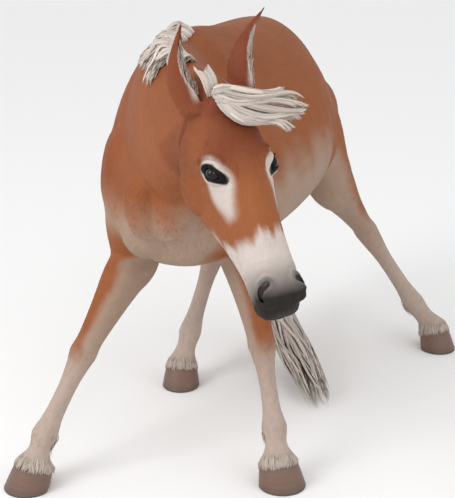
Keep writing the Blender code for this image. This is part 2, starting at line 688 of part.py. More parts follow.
def eye_object(name, sign, radius):
    outward, inner, up = eye_axes(sign)
    turned = Matrix([inner, up, outward]).transposed()
    return mesh_object(name, [ellipsoid(eye_centre(sign), [radius] * 3, turned, rings=7, sides=14)])


def eye_opening(sign):
    """The almond between the lids, widening outward so that the lids are bevelled."""
    outward, inner, up = eye_axes(sign)
    turn = np.linspace(0, 2 * math.pi, 16, endpoint=False)
    rings = []
    for depth, size in ((0.25, 0.80), (0.85, 0.98), (1.15, 1.12), (2.4, 1.7)):
        long = 0.0265 * size * np.cos(turn)
        tall = np.where(np.sin(turn) > 0, 0.0165, 0.0135) * size * np.sin(turn) * (1 - 0.25 * np.cos(turn) ** 2)
        middle = eye_centre(sign) + outward * EYE_RADIUS * depth
        rings.append(middle + np.outer(long, inner) + np.outer(tall, up))
    return mesh_object("opening", [closed_tube(rings)])


def nostril_cutter(sign):
    """A comma: a round inner end that runs out and back in a narrow curved slit."""
    outward = unit(sign * 0.55 * SIDE + 0.66 * HEIGHT + 0.50 * ALONG)
    path = [(-0.004, -0.026), (0.007, -0.016), (0.0125, 0.000), (0.009, 0.016), (-0.003, 0.024)]
    size = [0.0045, 0.0065, 0.0085, 0.0085, 0.0060]
    across = unit(sign * SIDE - (sign * SIDE @ outward) * outward)
    down = unit(ALONG - (ALONG @ outward) * outward - (ALONG @ across) * across)
    start = in_head(sign * NOSTRIL_SIDE, NOSTRIL_ALONG, NOSTRIL_HEIGHT) + outward * 0.008
    centres = smooth_rows([start + a * across + d * down for a, d in path], 2)
    width = smooth_rows(np.array(size)[:, None], 2)[:, 0]
    fronts = np.tile(outward, (len(centres), 1))
    rings = rings_of(centres, fronts, width * 2.2, width * 2.4, width, 10)
    return mesh_object("nostril", [closed_tube(domed(rings, 0.8))])


def mouth_cutter(skull):
    """A thin groove that follows the lips round the muzzle, found by looking out from the head's middle line."""
    tree = BVHTree.FromObject(skull, bpy.context.evaluated_depsgraph_get())
    inside = in_head(0, 0.520, MOUTH_HEIGHT)
    path = []
    for degrees in np.linspace(-104, 104, 27):
        turn = math.radians(degrees)
        droop = 0.010 * abs(degrees / 104) ** 2
        way = unit(math.sin(turn) * SIDE + math.cos(turn) * ALONG)
        start = inside - HEIGHT * droop
        hit = tree.ray_cast(Vector(start), Vector(way))[0]
        path.append(np.array(hit) - way * 0.0005)
    path = np.array(path)
    fronts = path - inside
    depth = np.full(len(path), 0.0055)
    depth[0] = depth[-1] = 0.003
    rings = rings_of(path, fronts, depth + 0.006, depth, np.full(len(path), 0.0014), 6)
    return mesh_object("mouth", [closed_tube(rings)])


def lock_shell(path, flat, width, thick):
    """One flat tapered lock: a closed strip with a lens section, widest at a third of its length, ending in a point."""
    path = np.asarray(path, float)
    count = len(path)
    share = np.linspace(0, 1, count)
    tangents = np.gradient(path, axis=0)
    tangents /= np.linalg.norm(tangents, axis=1)[:, None]
    flat = np.asarray(flat, float) - (np.asarray(flat, float) * tangents).sum(1)[:, None] * tangents
    flat /= np.linalg.norm(flat, axis=1)[:, None]
    across = np.cross(tangents, flat)
    swell = np.interp(share, (0, 0.35, 0.75, 1), (0.70, 1.0, 0.70, 0.0))
    rings = []
    for i in range(count - 1):
        w, t = width * swell[i] / 2, thick * (0.4 + 0.6 * swell[i]) / 2
        rings.append([path[i] + across[i] * w, path[i] + flat[i] * t, path[i] - across[i] * w, path[i] - flat[i] * t])
    points = np.vstack([np.array(rings).reshape(-1, 3), path[-1], path[0]])
    faces = []
    for i in range(count - 2):
        for j in range(4):
            k = (j + 1) % 4
            faces.append((i * 4 + j, i * 4 + k, (i + 1) * 4 + k, (i + 1) * 4 + j))
    last, tip, root = (count - 2) * 4, 4 * (count - 1), 4 * (count - 1) + 1
    for j in range(4):
        k = (j + 1) % 4
        faces.append((last + j, last + k, tip))
        faces.append((root, k, j))
    return points, faces


def material(name, colour, roughness):
    surface = bpy.data.materials.get(name) or bpy.data.materials.new(name)
    surface.use_nodes = True
    node = surface.node_tree.nodes["Principled BSDF"]
    node.inputs["Base Color"].default_value = (*colour, 1.0)
    node.inputs["Roughness"].default_value = roughness
    return surface


def join_locks(node, shells):
    """Fuses closed lock shells with the node that they grow from."""
    pieces = [mesh_object("lock", [shell]) for shell in shells]
    return boolean(node, pieces, "UNION")


def surface_of(*objects):
    """A search tree over the surfaces of some objects."""
    points, faces, start = [], [], 0
    for obj in objects:
        points += [v.co.copy() for v in obj.data.vertices]
        faces += [[i + start for i in p.vertices] for p in obj.data.polygons]
        start = len(points)
    return BVHTree.FromPolygons(points, faces)


def laid_path(tree, root, ways, length, lift):
    """A path that starts sunk in the surface and follows it at a growing height, turning through the given ways."""
    normal = np.array(tree.find_nearest(Vector(root))[1])
    path = [np.array(root) - normal * LOCK_SUNK]
    here, flats = np.array(root) + normal * lift * 0.6, [normal]
    for i, way in enumerate(ways):
        if i:
            here = here + unit(way) * length / len(ways)
            spot, normal = (np.array(v) for v in tree.find_nearest(Vector(here))[:2])
            height = lift * (0.7 + 0.5 * i / len(ways))
            if (here - spot) @ normal < height:
                here = spot + normal * height
        path.append(here)
        flats.append(normal)
    return np.array(path), np.array(flats)


def mane(tree, rng):
    """Locks rooted along the crest of the neck that fall to its right side in layers."""
    crest = smooth_rows(np.array(NECK)[1:, :3], 6)
    crest = np.vstack([[0.004, 0.030, 1.200], crest])
    shells = []
    for layer in range(MANE["layers"]):
        for i in range(MANE["count"]):
            t = (i + 0.5 * (layer % 2) + rng.uniform(-0.2, 0.2)) / MANE["count"]
            at = np.clip(0.02 + 0.68 * t, 0, 1) * (len(crest) - 1)
            spot = np.array([np.interp(at, np.arange(len(crest)), crest[:, k]) for k in range(3)])
            ahead = crest[min(int(at) + 1, len(crest) - 1)] - crest[max(int(at) - 1, 0)]
            ahead = unit([ahead[0], ahead[1], 0])
            right = np.cross(ahead, [0, 0, 1.0])
            hit = tree.ray_cast(Vector(spot + np.array([0, 0, 0.6])), Vector((0, 0, -1)))[0]
            if hit is None:
                continue
            root = np.array(hit) + right * (0.006 - 0.006 * layer)
            sway = rng.uniform(-0.35, 0.15)
            ways = [0.5 * right + [0, 0, 1.0], right + [0, 0, 0.35] + sway * 0.5 * ahead, 0.8 * right - [0, 0, 0.5] + sway * ahead,
                    0.5 * right - [0, 0, 1.0] + sway * ahead, 0.3 * right - [0, 0, 1.0] + 0.6 * sway * ahead,
                    0.25 * right - [0, 0, 1.0] + 0.6 * sway * ahead]
            length = MANE["length"] * rng.uniform(0.8, 1.1) * (1 - 0.15 * layer)
            path, flats = laid_path(tree, root, ways, length, 0.006 + 0.006 * layer)
            wave = MANE["wave"] * np.sin(np.arange(len(path)) * 1.5 + rng.uniform(0, 6))
            wave[:2] = 0
            path = path + wave[:, None] * ahead
            shells.append(lock_shell(path, flats, MANE["width"] * rng.uniform(0.85, 1.15), MANE["thick"]))
    return shells


def forelock(rng):
    """Locks from between the ears, swept over the left of the forehead and out past it, with a small tuft upright."""
    shells = []
    for layer in range(FORELOCK["layers"]):
        for i in range(FORELOCK["count"]):
            r = (i + 0.5 * (layer % 2)) / (FORELOCK["count"] - 0.5)
            side = np.interp(r, (0, 0.35, 0.65, 1), (0.160, 0.245, 0.220, 0.150)) * rng.uniform(0.90, 1.04)
            along = np.interp(r, (0, 0.35, 0.65, 1), (0.020, 0.056, 0.102, 0.140))
            rise = 0.016 + 0.013 * layer
            knots = [
                (-0.020 + 0.022 * r, -0.004 + 0.034 * r, -0.030), (-0.042 + 0.010 * r, -0.008 + 0.048 * r, 0.002 + rise),
                (0.14 * side - 0.026, 0.08 * along + 0.072 * r, 0.014 + rise),
                (0.46 * side - 0.020, 0.46 * along + 0.050 * r, 0.012 + rise),
                (0.80 * side, 0.82 * along + 0.012 * r, 0.006 + rise), (side, along + rng.uniform(-0.006, 0.006), rise - 0.006),
            ]
            path = np.array([in_head(*k) for k in knots])
            wave = FORELOCK["wave"] * np.sin(np.arange(len(path)) * 1.9 + rng.uniform(0, 6))
            wave[:2] = 0
            path = path + wave[:, None] * (ALONG + 0.5 * HEIGHT * (layer - 0.5))
            flats = np.tile(HEIGHT, (len(path), 1))
            shells.append(lock_shell(path, flats, FORELOCK["width"] * rng.uniform(0.9, 1.15), FORELOCK["thick"]))
    for i in range(FORELOCK["tufts"]):
        spread = rng.uniform(-0.016, 0.016)
        knots = [(-0.026 + spread, -0.002, -0.028), (-0.040 + spread, -0.012, 0.008),
                 (-0.046 + 1.3 * spread, -0.045, 0.022), (-0.056 + 1.6 * spread, -0.086 + abs(spread), 0.022)]
        path = np.array([in_head(*k) for k in knots])
        shells.append(lock_shell(path, np.tile(HEIGHT, (4, 1)), FORELOCK["width"] * 0.8, FORELOCK["thick"]))
    return shells


def tail(rng):
    """The dock as a core, and round it long waved locks that sweep forward under the body to the floor."""
    way = smooth_rows(TAIL_PATH, 6)
    _, up, side = frames_along(way, np.tile([0.15, 0.25, 1.0], (len(way), 1)))
    last = int(len(way) * TAIL["core"])
    share = np.linspace(0, 1, last)
    size = np.interp(share, (0, 0.4, 0.8, 1), (0.034, 0.040, 0.034, 0.018))
    core = closed_tube(domed(rings_of(way[:last], up[:last], size, size, size, 12)))
    node = mesh_object("tail", [core])
    shells = []
    for i in range(TAIL["count"]):
        # Every other lock grows from the dock, and the rest from the lower half of the core.
        start = rng.uniform(0.02, 0.08) if i % 2 == 0 else rng.uniform(0.38, 0.44)
        end = rng.uniform(0.90, 1.0) if i % 4 else rng.uniform(0.76, 0.88)
        turn = 2 * math.pi * (i / TAIL["count"] + rng.uniform(-0.04, 0.04))
        phase, points = rng.uniform(0, 2 * math.pi), []
        for k in range(TAIL["points"]):
            t = start + (end - start) * k / (TAIL["points"] - 1)
            at = t * (len(way) - 1)
            j = min(int(at), len(way) - 2)
            f = at - j
            centre = (1 - f) * way[j] + f * way[j + 1]
            bundle = np.interp(t, (0, 0.15, 0.40, 0.60, 0.85, 1), (0.026, 0.034, 0.030, 0.052, 0.058, 0.040))
            lean = turn + 0.7 * math.sin(9 * t + phase)
            reach = bundle * (0.15 if k == 0 else 1.0)
            point = centre + reach * (math.cos(lean) * side[j] + 0.8 * math.sin(lean) * up[j])
            point[2] = max(point[2], TAIL["thick"] * 0.5 + 0.0015)
            points.append(point)
        flats = np.tile(math.cos(turn) * side[len(way) // 2] + math.sin(turn) * up[len(way) // 2], (len(points), 1))
        shells.append(lock_shell(points, flats, TAIL["width"] * rng.uniform(0.85, 1.2), TAIL["thick"]))
    return node, shells


def fringe(name, rng):
    """Short pointed locks of feather that hang over the top of the hoof, clear of it."""
    leg = LEGS[name]
    size = HOOF[leg["kind"]]["coronet"]
    middle, side, back, up = coronet_frame(leg)
    shells = []
    for i in range(FRINGE["count"]):
        turn = 2 * math.pi * (i + rng.uniform(-0.15, 0.15)) / FRINGE["count"]
        out = math.cos(turn) * side * size[0] + math.sin(turn) * back * size[1]
        way = unit(out)
        drop = FRINGE["drop"] * rng.uniform(0.75, 1.15)
        # Every other lock lies a little further out, over its neighbours.
        out = out * (1 + 0.05 * (i % 2))
        path = [middle + out * 0.62 + up * 0.046, middle + out * 0.92 + up * 0.030 + way * 0.002,
                middle + out + up * 0.010 + way * 0.0045, middle + out - up * drop * 0.45 + way * 0.0075,
                middle + out - up * drop + way * 0.0085]
        shells.append(lock_shell(path, np.tile(way, (5, 1)), FRINGE["width"], FRINGE["thick"]))
    return shells


def place(nodes):
    """Moves every node so that the whole box stands with the middle of its underside at the origin, and names it."""
    for name, obj in nodes.items():
        tidied(obj)
        obj.data.transform(Matrix.Translation(SHIFT))
        obj.name = name
        obj.data.name = name
        obj.data.materials.clear()
        obj.data.materials.append(material(*COATS[NODE_COATS.get(name.split("_")[0], "coat")]))


def main():
    for old in list(bpy.data.objects):
        bpy.data.objects.remove(old)
    rng = np.random.default_rng(7)
    nodes = {}
    shells = body_shells()
    trunk = one_surface(mesh_object("trunk", shells), 0.012, 12, TRUNK_TRIANGLES)
    limbs = one_surface(mesh_object("limbs", shells), 0.010, 4, LEG_TRIANGLES)
    skull = one_surface(mesh_object("head", head_shells()), 0.0055, 5, HEAD_TRIANGLES)
    centre, normal = head_cut()
    nodes["head"] = boolean(skull, block(centre, normal, 0.45, 1.2, GAP / 2), "INTERSECT")

    middle, ahead = np.array(NECK_CUT["centre"]), unit(NECK_CUT["normal"])
    nodes["neck"] = copy_of(trunk, "neck")
    boolean(nodes["neck"], block(middle, ahead, 0.34, 1.2, GAP / 2), "INTERSECT")
    for name in LEGS:
        spot, down, half = leg_cut(name)
        part = copy_of(limbs, name)
        knee = Vector(LEGS[name]["joints"][2])
        boolean(part, block(spot, down, half, 1.3, GAP / 2, 6.0), "INTERSECT", knee)
        top, _, _, up = coronet_frame(LEGS[name])
        boolean(part, block(top, -up, 0.12, 0.2, 0.0), "DIFFERENCE")
        spot_low, down_low = knee_cut(name)
        cannon = name.replace("leg", "cannon")
        nodes[cannon] = boolean(copy_of(part, cannon), block(spot_low, down_low, 0.09, 0.8, GAP / 2, 6.0), "INTERSECT")
        nodes[name] = boolean(part, block(spot_low, down_low, 0.09, 0.8, -GAP / 2, 6.0), "DIFFERENCE")
        nodes[name.replace("leg", "hoof")] = hoof(name)
        boolean(trunk, block(spot, down, half, 1.3, -GAP / 2, 6.0), "DIFFERENCE")
    boolean(trunk, block(middle, ahead, 0.34, 1.2, -GAP / 2), "DIFFERENCE")
    bpy.data.objects.remove(limbs)
    nodes["torso"] = trunk

    for name, sign in (("eye_right", -1), ("eye_left", 1)):
        socket = eye_object("socket", sign, EYE_RADIUS + 0.0004)
        boolean(nodes["head"], [socket, eye_opening(sign), nostril_cutter(sign)], "DIFFERENCE")
        nodes[name] = eye_object(name, sign, EYE_RADIUS)
    boolean(nodes["head"], mouth_cutter(nodes["head"]), "DIFFERENCE")
    for name in EARS:
        nodes[name] = boolean(ear_object(name), swollen(nodes["head"], GAP), "DIFFERENCE")
        boolean(nodes[name], swollen(nodes["neck"], GAP), "DIFFERENCE")

    join_locks(nodes["neck"], mane(surface_of(nodes["neck"], nodes["torso"]), rng))
    boolean(nodes["neck"], block(centre, normal, 0.45, 1.2, -GAP / 2), "DIFFERENCE")
    boolean(nodes["neck"], swollen(nodes["torso"], GAP), "DIFFERENCE")
    join_locks(nodes["head"], forelock(rng))
    for name in EARS:
        boolean(nodes["head"], swollen(nodes[name], GAP), "DIFFERENCE")
        boolean(nodes["neck"], swollen(nodes[name], GAP), "DIFFERENCE")
    boolean(nodes["neck"], swollen(nodes["head"], GAP), "DIFFERENCE")
    node, shells = tail(rng)
    nodes["tail_upper"] = join_locks(node, shells)
    boolean(nodes["tail_upper"], swollen(nodes["torso"], GAP), "DIFFERENCE")
    spot, onward = tail_cut()
    lower = copy_of(nodes["tail_upper"], "tail_lower")
    nodes["tail_lower"] = boolean(lower, block(spot, onward, 0.2, 1.5, GAP / 2, 6.0), "INTERSECT")
    boolean(nodes["tail_upper"], block(spot, onward, 0.2, 1.5, -GAP / 2, 6.0), "DIFFERENCE")
    for name in LEGS:
        cannon = name.replace("leg", "cannon")
        join_locks(nodes[cannon], fringe(name, rng))
        boolean(nodes[cannon], swollen(nodes[name.replace("leg", "hoof")], GAP), "DIFFERENCE")
    place(nodes)


main()
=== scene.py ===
# A chestnut mule, standing straddled with its head low and turned to its left: skin, coat, hair, eyes
# and hooves. Shapes are worked out in the animal's own frame (+x to its left, +y to its tail, ground under
# the withers at 0) and moved into the shared frame when each mesh is made.
import math

import bmesh
import bpy
import numpy as np
from mathutils import Matrix, Vector
from mathutils.bvhtree import BVHTree


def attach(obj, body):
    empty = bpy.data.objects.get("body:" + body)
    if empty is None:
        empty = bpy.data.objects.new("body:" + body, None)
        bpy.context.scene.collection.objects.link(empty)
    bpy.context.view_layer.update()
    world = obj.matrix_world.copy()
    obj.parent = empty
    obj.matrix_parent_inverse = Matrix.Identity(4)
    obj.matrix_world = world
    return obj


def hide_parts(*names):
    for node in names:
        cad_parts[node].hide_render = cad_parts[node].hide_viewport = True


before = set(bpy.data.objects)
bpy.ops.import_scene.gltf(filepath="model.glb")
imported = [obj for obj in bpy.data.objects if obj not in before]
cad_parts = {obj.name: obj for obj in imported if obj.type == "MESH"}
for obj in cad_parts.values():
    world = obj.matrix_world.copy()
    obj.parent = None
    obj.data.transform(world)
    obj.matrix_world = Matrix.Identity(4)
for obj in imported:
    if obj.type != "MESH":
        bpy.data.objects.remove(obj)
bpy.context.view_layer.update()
shift = np.array([-0.156, -0.274, 0.0])


def mm(*rows):
    # rows of millimetres or thousandths, divided by 1000
    return np.array(rows) / 1000


def unit(v):
    # each row divided by its length
    v = np.asarray(v, float)
    return v / np.maximum(np.linalg.norm(v, axis=-1, keepdims=True), 1e-12)


def square(v, axis):
    # the part of each v at right angles to the unit axis, divided by its length
    return unit(v - (v * axis).sum(-1, keepdims=True) * axis)


def ramp(x, low, high):
    # 0 at low, 1 at high, a smooth S between them, and flat past both
    t = np.clip((np.asarray(x, float) - low) / (high - low), 0, 1)
    return t * t * (3 - 2 * t)


def bump(distance, width):
    # a bell curve of the distance
    return np.exp(-(distance / width) ** 2)


def circle(count):
    return np.linspace(0, 2 * math.pi, count, endpoint=False)


def pick(rows, at):
    # rows read at fractional positions, with straight lines between them
    return np.stack([np.interp(at, np.arange(len(rows)), column) for column in np.transpose(rows)], -1)


def smoothRows(rows, steps):
    # Catmull-Rom curve through the rows, with steps spans from one to the next
    rows = np.asarray(rows, float)
    padded = np.vstack([2 * rows[0] - rows[1], rows, 2 * rows[-1] - rows[-2]])
    t, out = np.arange(steps)[:, None] / steps, []
    for a, b, c, d in zip(padded, padded[1:], padded[2:], padded[3:]):
        bend, twist = 2 * a - 5 * b + 4 * c - d, 3 * b - a - 3 * c + d
        out.append(0.5 * (2 * b + (c - a) * t + bend * t**2 + twist * t**3))
    return np.vstack([*out, rows[-1]])


def gridFaces(rows, sides, ends=True):
    # quads between neighbouring rings of equal count, and a fan on each end round one more point
    i, j = np.meshgrid(np.arange(rows - 1) * sides, np.arange(sides), indexing="ij")
    k = (j + 1) % sides
    faces = np.stack([i + j, i + k, i + sides + k, i + sides + j], -1).reshape(-1, 4).tolist()
    if ends:
        j, k, last = j[0], k[0], (rows - 1) * sides
        faces += np.stack([0 * j + rows * sides, k, j], 1).tolist()
        faces += np.stack([0 * j + rows * sides + 1, last + j, last + k], 1).tolist()
    return faces


def tube(rings):
    # a closed tube through the rings, with the middle of each end ring as its pole
    rings = np.asarray(rings, float)
    points = np.vstack([rings.reshape(-1, 3), rings[0].mean(0), rings[-1].mean(0)])
    return points, gridFaces(*rings.shape[:2])


def domed(rings, share=0.55):
    # two smaller rings past each end, so that it closes round
    rings = list(np.asarray(rings, float))
    for _ in range(2):
        ring, middle = rings[0], rings[0].mean(0)
        out = unit(middle - rings[1].mean(0)) * share * np.linalg.norm(ring - middle, axis=1).min()
        rings = [middle + (ring - middle) * c + out * s for c, s in ((0.5, 0.87), (0.86, 0.5))] + rings
        rings.reverse()
    return rings


def framesAlong(centres, fronts):
    # tangent, front square to it, and side, at each point of a path
    tangents = unit(np.gradient(centres, axis=0))
    fronts = square(np.broadcast_to(fronts, centres.shape), tangents)
    return tangents, fronts, np.cross(tangents, fronts)


def ringsOf(centres, fronts, sides, front, back=None, side=None):
    # ellipses square to the path, whose front and back halves have their own depth
    _, ahead, across = framesAlong(centres, fronts)
    turn, back, side = circle(sides), front if back is None else back, front if side is None else side
    depth = np.where(np.sin(turn) > 0, front[:, None], back[:, None]) * np.sin(turn)
    wide = side[:, None] * np.cos(turn)
    return centres[:, None] + wide[..., None] * across[:, None] + depth[..., None] * ahead[:, None]


def rounded(path, fronts, sides, size, side=None, share=0.55):
    # a closed sausage of ellipses along a path
    return tube(domed(ringsOf(path, fronts, sides, size, size, side), share))


def ellipsoid(centre, radii, turned=np.eye(3), rings=12, sides=20):
    # a globe's rings times the radii, turned, and moved to the centre
    turn, lat = circle(sides), np.linspace(0, math.pi, rings + 1)[1:-1, None]
    ball = np.stack([np.sin(lat) * np.cos(turn), np.sin(lat) * np.sin(turn), np.cos(lat) + 0 * turn], -1)
    ball = np.vstack([ball.reshape(-1, 3), (0, 0, 1), (0, 0, -1)])
    return np.array(centre) + ball * radii @ np.array(turned).T, gridFaces(rings - 1, sides)


def addObject(name, data):
    piece = bpy.data.objects.new(name, data)
    bpy.context.scene.collection.objects.link(piece)
    return piece


def meshObject(name, points, faces, material=None, outward=True):
    # a smooth piece in the shared frame, with its faces turned outward
    mesh = bpy.data.meshes.new(name)
    mesh.from_pydata((np.asarray(points) + shift).tolist(), [], faces)
    mesh.update()
    if outward:
        shape = bmesh.new()
        shape.from_mesh(mesh)
        bmesh.ops.recalc_face_normals(shape, faces=shape.faces)
        shape.to_mesh(mesh)
        shape.free()
    mesh.polygons.foreach_set("use_smooth", np.ones(len(mesh.polygons), bool))
    if material:
        mesh.materials.append(material)
    return addObject(name, mesh)


def joined(parts):
    # several (points, faces) as one
    points, faces, start = [], [], 0
    for p, f in parts:
        points.append(p)
        faces += [[i + start for i in face] for face in f]
        start += len(p)
    return np.vstack(points), faces


def applied(piece):
    mesh = bpy.data.meshes.new_from_object(piece.evaluated_get(bpy.context.evaluated_depsgraph_get()))
    piece.modifiers.clear()
    old, piece.data = piece.data, mesh
    bpy.data.meshes.remove(old)


def read(items, what, width, kind=np.float32):
    # one property of all items, as rows of the given width
    out = np.empty(len(items) * width, kind)
    items.foreach_get(what, out)
    return out.reshape(-1, width)


def pointsOf(piece):
    return read(piece.data.vertices, "co", 3).astype(float) - shift


def normalsOf(piece):
    return read(piece.data.vertex_normals, "vector", 3).astype(float)


def edgesOf(piece):
    return read(piece.data.edges, "vertices", 2, np.int32).astype(np.int64)


def setPoints(piece, points):
    piece.data.vertices.foreach_set("co", (points + shift).astype(np.float32).ravel())
    piece.data.update()


def putAttribute(piece, name, values):
    attribute = piece.data.attributes.new(name, "FLOAT", "POINT")
    attribute.data.foreach_set("value", np.asarray(values, np.float32).ravel())


def alongPath(points, path, reach):
    # distance of each point to a polyline, and how far along it the nearest place is, from 0 to 1;
    # points farther than the reach get 9
    near = np.where(((points > path.min(0) - reach) & (points < path.max(0) + reach)).all(1))[0]
    distance, share = np.full(len(points), 9.0), np.zeros(len(points))
    best, where, spans = np.full(len(near), 9.0), np.zeros(len(near)), len(path) - 1
    for s in range(spans):
        a, d = path[s], path[s + 1] - path[s]
        t = np.clip((points[near] - a) @ d / (d @ d), 0, 1)
        gap = np.linalg.norm(points[near] - a - t[:, None] * d, axis=1)
        closer = gap < best
        best[closer], where[closer] = gap[closer], (s + t[closer]) / spans
    distance[near], share[near] = best, where
    return distance, share


def nearPath(points, path, far, close):
    # 1 within close of the path, 0 past far
    return ramp(alongPath(points, path, far)[0], far, close)


def ridge(points, path, width, height, fade):
    # a long low swelling or groove over the path: a bell across it, fading out at its ends
    distance, share = alongPath(points, path, width * 2.5)
    return height * bump(distance, width) * ramp(np.minimum(share, 1 - share), *fade)


# the animal's measures, in millimetres and thousandths inside the tables
head = {
    "origin": (0.348, -0.58, 1.372), "yaw": 51.5, "noseDown": 55.5, "roll": 4.0,
    # along from the poll, top, top half width, widest, height of the widest, low half width, bottom
    "stations": (
        (-40, -50, 30, 62, -120, 55, -190), (0, -14, 40, 76, -95, 68, -225),
        (60, 2, 54, 94, -85, 86, -268), (120, 8, 64, 104, -78, 92, -294),
        (180, 10, 66, 108, -72, 91, -302), (240, 10, 59, 99, -78, 84, -298),
        (300, 9, 51, 86, -83, 76, -276), (360, 6, 47, 76, -83, 65, -239), (420, 1, 46, 71, -77, 58, -205),
        (480, -6, 47, 70, -69, 54, -178), (535, -13, 51, 72, -64, 52, -160),
        (580, -24, 49, 70, -70, 50, -155), (612, -42, 40, 58, -82, 41, -145),
    ),
    "nostril": (0.048, 0.559, -0.042), "mouth": -0.108,
}
eyes = {"side": 0.084, "along": 0.21, "height": -0.046, "radius": 0.0245, "out": 0.0035}
ears = {
    "length": 0.268, "depth": 1.4, "wall": 0.0085,
    "right": {"root": (-0.046, 0.05, -0.1), "base": (-0.078, 0.028, -0.062),
              "points": (-0.245, 0.302, 0.92), "opens": (0.99, 0.05, 0.1)},
    "left": {"root": (0.048, 0.04, -0.08), "base": (0.074, 0.012, -0.045),
             "points": (0.12, 0.365, 0.93), "opens": (0.97, 0.2, 0.04)},
    # share of the length, radius, how far the cup closes round in degrees from the back
    "stations": (
        (-0.1, 0.021, 162), (0.0, 0.027, 160), (0.1, 0.031, 152), (0.22, 0.035, 135), (0.36, 0.036, 115),
        (0.52, 0.031, 102), (0.68, 0.023, 94), (0.83, 0.0145, 90), (0.95, 0.0072, 86), (1.0, 0.004, 84),
    ),
}
trunk = {
    # x, y, z, half height, half width
    "neck": (
        (0, 120, 1050, 340, 180), (10, -60, 1100, 330, 180), (50, -200, 1170, 262, 140),
        (125, -340, 1225, 200, 108), (215, -450, 1262, 158, 90), (295, -530, 1280, 130, 80),
        (350, -580, 1285, 105, 72),
    ),
    # y, x, top, height of the widest, bottom, half width, power of the upper curve
    "torso": (
        (-250, 5, 1080, 900, 780, 120, 1100), (-190, 5, 1220, 870, 705, 185, 1150),
        (-100, -4, 1345, 850, 660, 242, 1080), (20, -10, 1418, 845, 640, 282, 1100),
        (150, -8, 1412, 850, 622, 300, 1150), (300, -8, 1382, 880, 612, 318, 1080),
        (450, -5, 1362, 905, 612, 332, 1000), (600, -5, 1350, 925, 622, 338, 1000),
        (750, -10, 1337, 905, 655, 322, 1050), (900, -18, 1312, 860, 710, 290, 1200),
        (1040, -22, 1270, 850, 765, 250, 1250), (1160, -20, 1195, 870, 800, 195, 1200),
        (1250, -15, 1110, 920, 850, 120, 1000),
    ),
    # side, y, z, half width, half length, half height, tilt in degrees
    "masses": (
        (0.165, -0.03, 0.915, 0.105, 0.15, 0.225, 16), (0.076, -0.172, 0.82, 0.086, 0.078, 0.12, 0),
        (0.148, 0.92, 0.92, 0.112, 0.18, 0.18, -14),
    ),
}
legs = {
    "foreRight": {"kind": "fore", "toeOut": 30,
        "joints": ((-165, 0, 960), (-172, -30, 650), (-247, -300, 394),
                   (-320, -462, 164), (-350, -532, 0))},
    "foreLeft": {"kind": "fore", "toeOut": 46,
        "joints": ((165, 20, 1000), (188, 0, 735), (300, -85, 414),
                   (376, -180, 175), (424, -244, 0))},
    "hindRight": {"kind": "hind", "toeOut": -14,
        "joints": ((-135, 900, 960), (-212, 690, 760), (-163, 735, 420),
                   (-156, 450, 200), (-169, 375, 0)),
        "muscles": (
            (((60, 1150, 1050), (115, 1080, 900), (165, 930, 740), (180, 790, 590)),
             ((70, 65), (120, 85), (105, 70), (45, 40))),
            (((130, 820, 1100), (190, 740, 930), (205, 690, 770)),
             ((80, 60), (100, 75), (70, 60))),
        )},
    "hindLeft": {"kind": "hind", "toeOut": 50,
        "joints": ((130, 930, 960), (262, 850, 710), (340, 1120, 437),
                   (549, 1100, 165), (666, 1047, 0)),
        "muscles": (
            (((60, 1150, 1050), (120, 1120, 900), (195, 1030, 740), (262, 985, 600)),
             ((70, 65), (115, 85), (100, 70), (45, 40))),
            (((140, 860, 1090), (218, 850, 920), (272, 850, 740)),
             ((80, 70), (115, 78), (80, 66))),
        )},
}
legSections = {
    # place along the four bones, front, back, side
    "fore": (
        (0, 150, 160, 85), (550, 130, 150, 92), (1000, 88, 112, 80), (1250, 76, 78, 70),
        (1550, 56, 56, 56), (1850, 43, 41, 46), (2000, 45, 46, 48), (2140, 37, 41, 40), (2400, 29, 36, 30),
        (2750, 30, 38, 30), (2930, 37, 47, 38), (3050, 40, 51, 43), (3500, 34, 36, 37), (3850, 49, 47, 52),
        (4000, 61, 58, 61),
    ),
    "hind": (
        (0, 100, 130, 70), (550, 130, 160, 95), (1000, 112, 150, 90), (1250, 82, 120, 74),
        (1550, 56, 78, 56), (1850, 43, 52, 44), (2000, 45, 52, 47), (2150, 39, 46, 41), (2400, 30, 38, 31),
        (2750, 31, 38, 31), (2930, 38, 47, 38), (3050, 40, 50, 42), (3500, 34, 36, 36), (3850, 47, 45, 49),
        (4000, 57, 54, 57),
    ),
}
hooves = {
    "fore": {"ground": (0.079, 0.08), "coronet": (0.062, 0.062), "height": 0.078, "rake": 0.031},
    "hind": {"ground": (0.07, 0.074), "coronet": (0.057, 0.057), "height": 0.076, "rake": 0.029},
    "slope": 17, "rings": 30, "sides": 72,
}


def headAxes():
    # side to the animal's left, along from the poll to the lips, and height out of the forehead
    yaw, down, roll = (math.radians(head[k]) for k in ("yaw", "noseDown", "roll"))
    ahead, left = np.array([[math.sin(yaw), -math.cos(yaw), 0.0], [math.cos(yaw), math.sin(yaw), 0.0]])
    along = math.cos(down) * ahead - math.sin(down) * np.array([0, 0, 1.0])
    height = np.cross(along, left)
    c, s = math.cos(roll), math.sin(roll)
    return c * left + s * height, along, c * height - s * left


sideway, along, upward = headAxes()
headTurn = np.stack([sideway, along, upward], axis=1)


def inHead(side, far, high):
    # a place in the head: its origin plus side, along and height times their axes
    out = [np.multiply.outer(share, axis) for share, axis in zip((side, far, high), headTurn.T)]
    return np.array(head["origin"]) + out[0] + out[1] + out[2]


def toHead(points):
    # side, along and height of points in the head's frame
    return (points - np.array(head["origin"])) @ headTurn


def headPath(sign, rows, steps):
    # a curve through places in the head, on its left (1) or right (-1)
    return smoothRows(inHead(*(mm(*rows) * (sign, 1, 1)).T), steps)


def onFace(local, low, high, half=0.16, deep=-0.34):
    # 0 to 1 over a stretch along the head, within its width and depth
    return ramp(local[:, 1], low, high) * (np.abs(local[:, 0]) < half) * (local[:, 2] > deep)


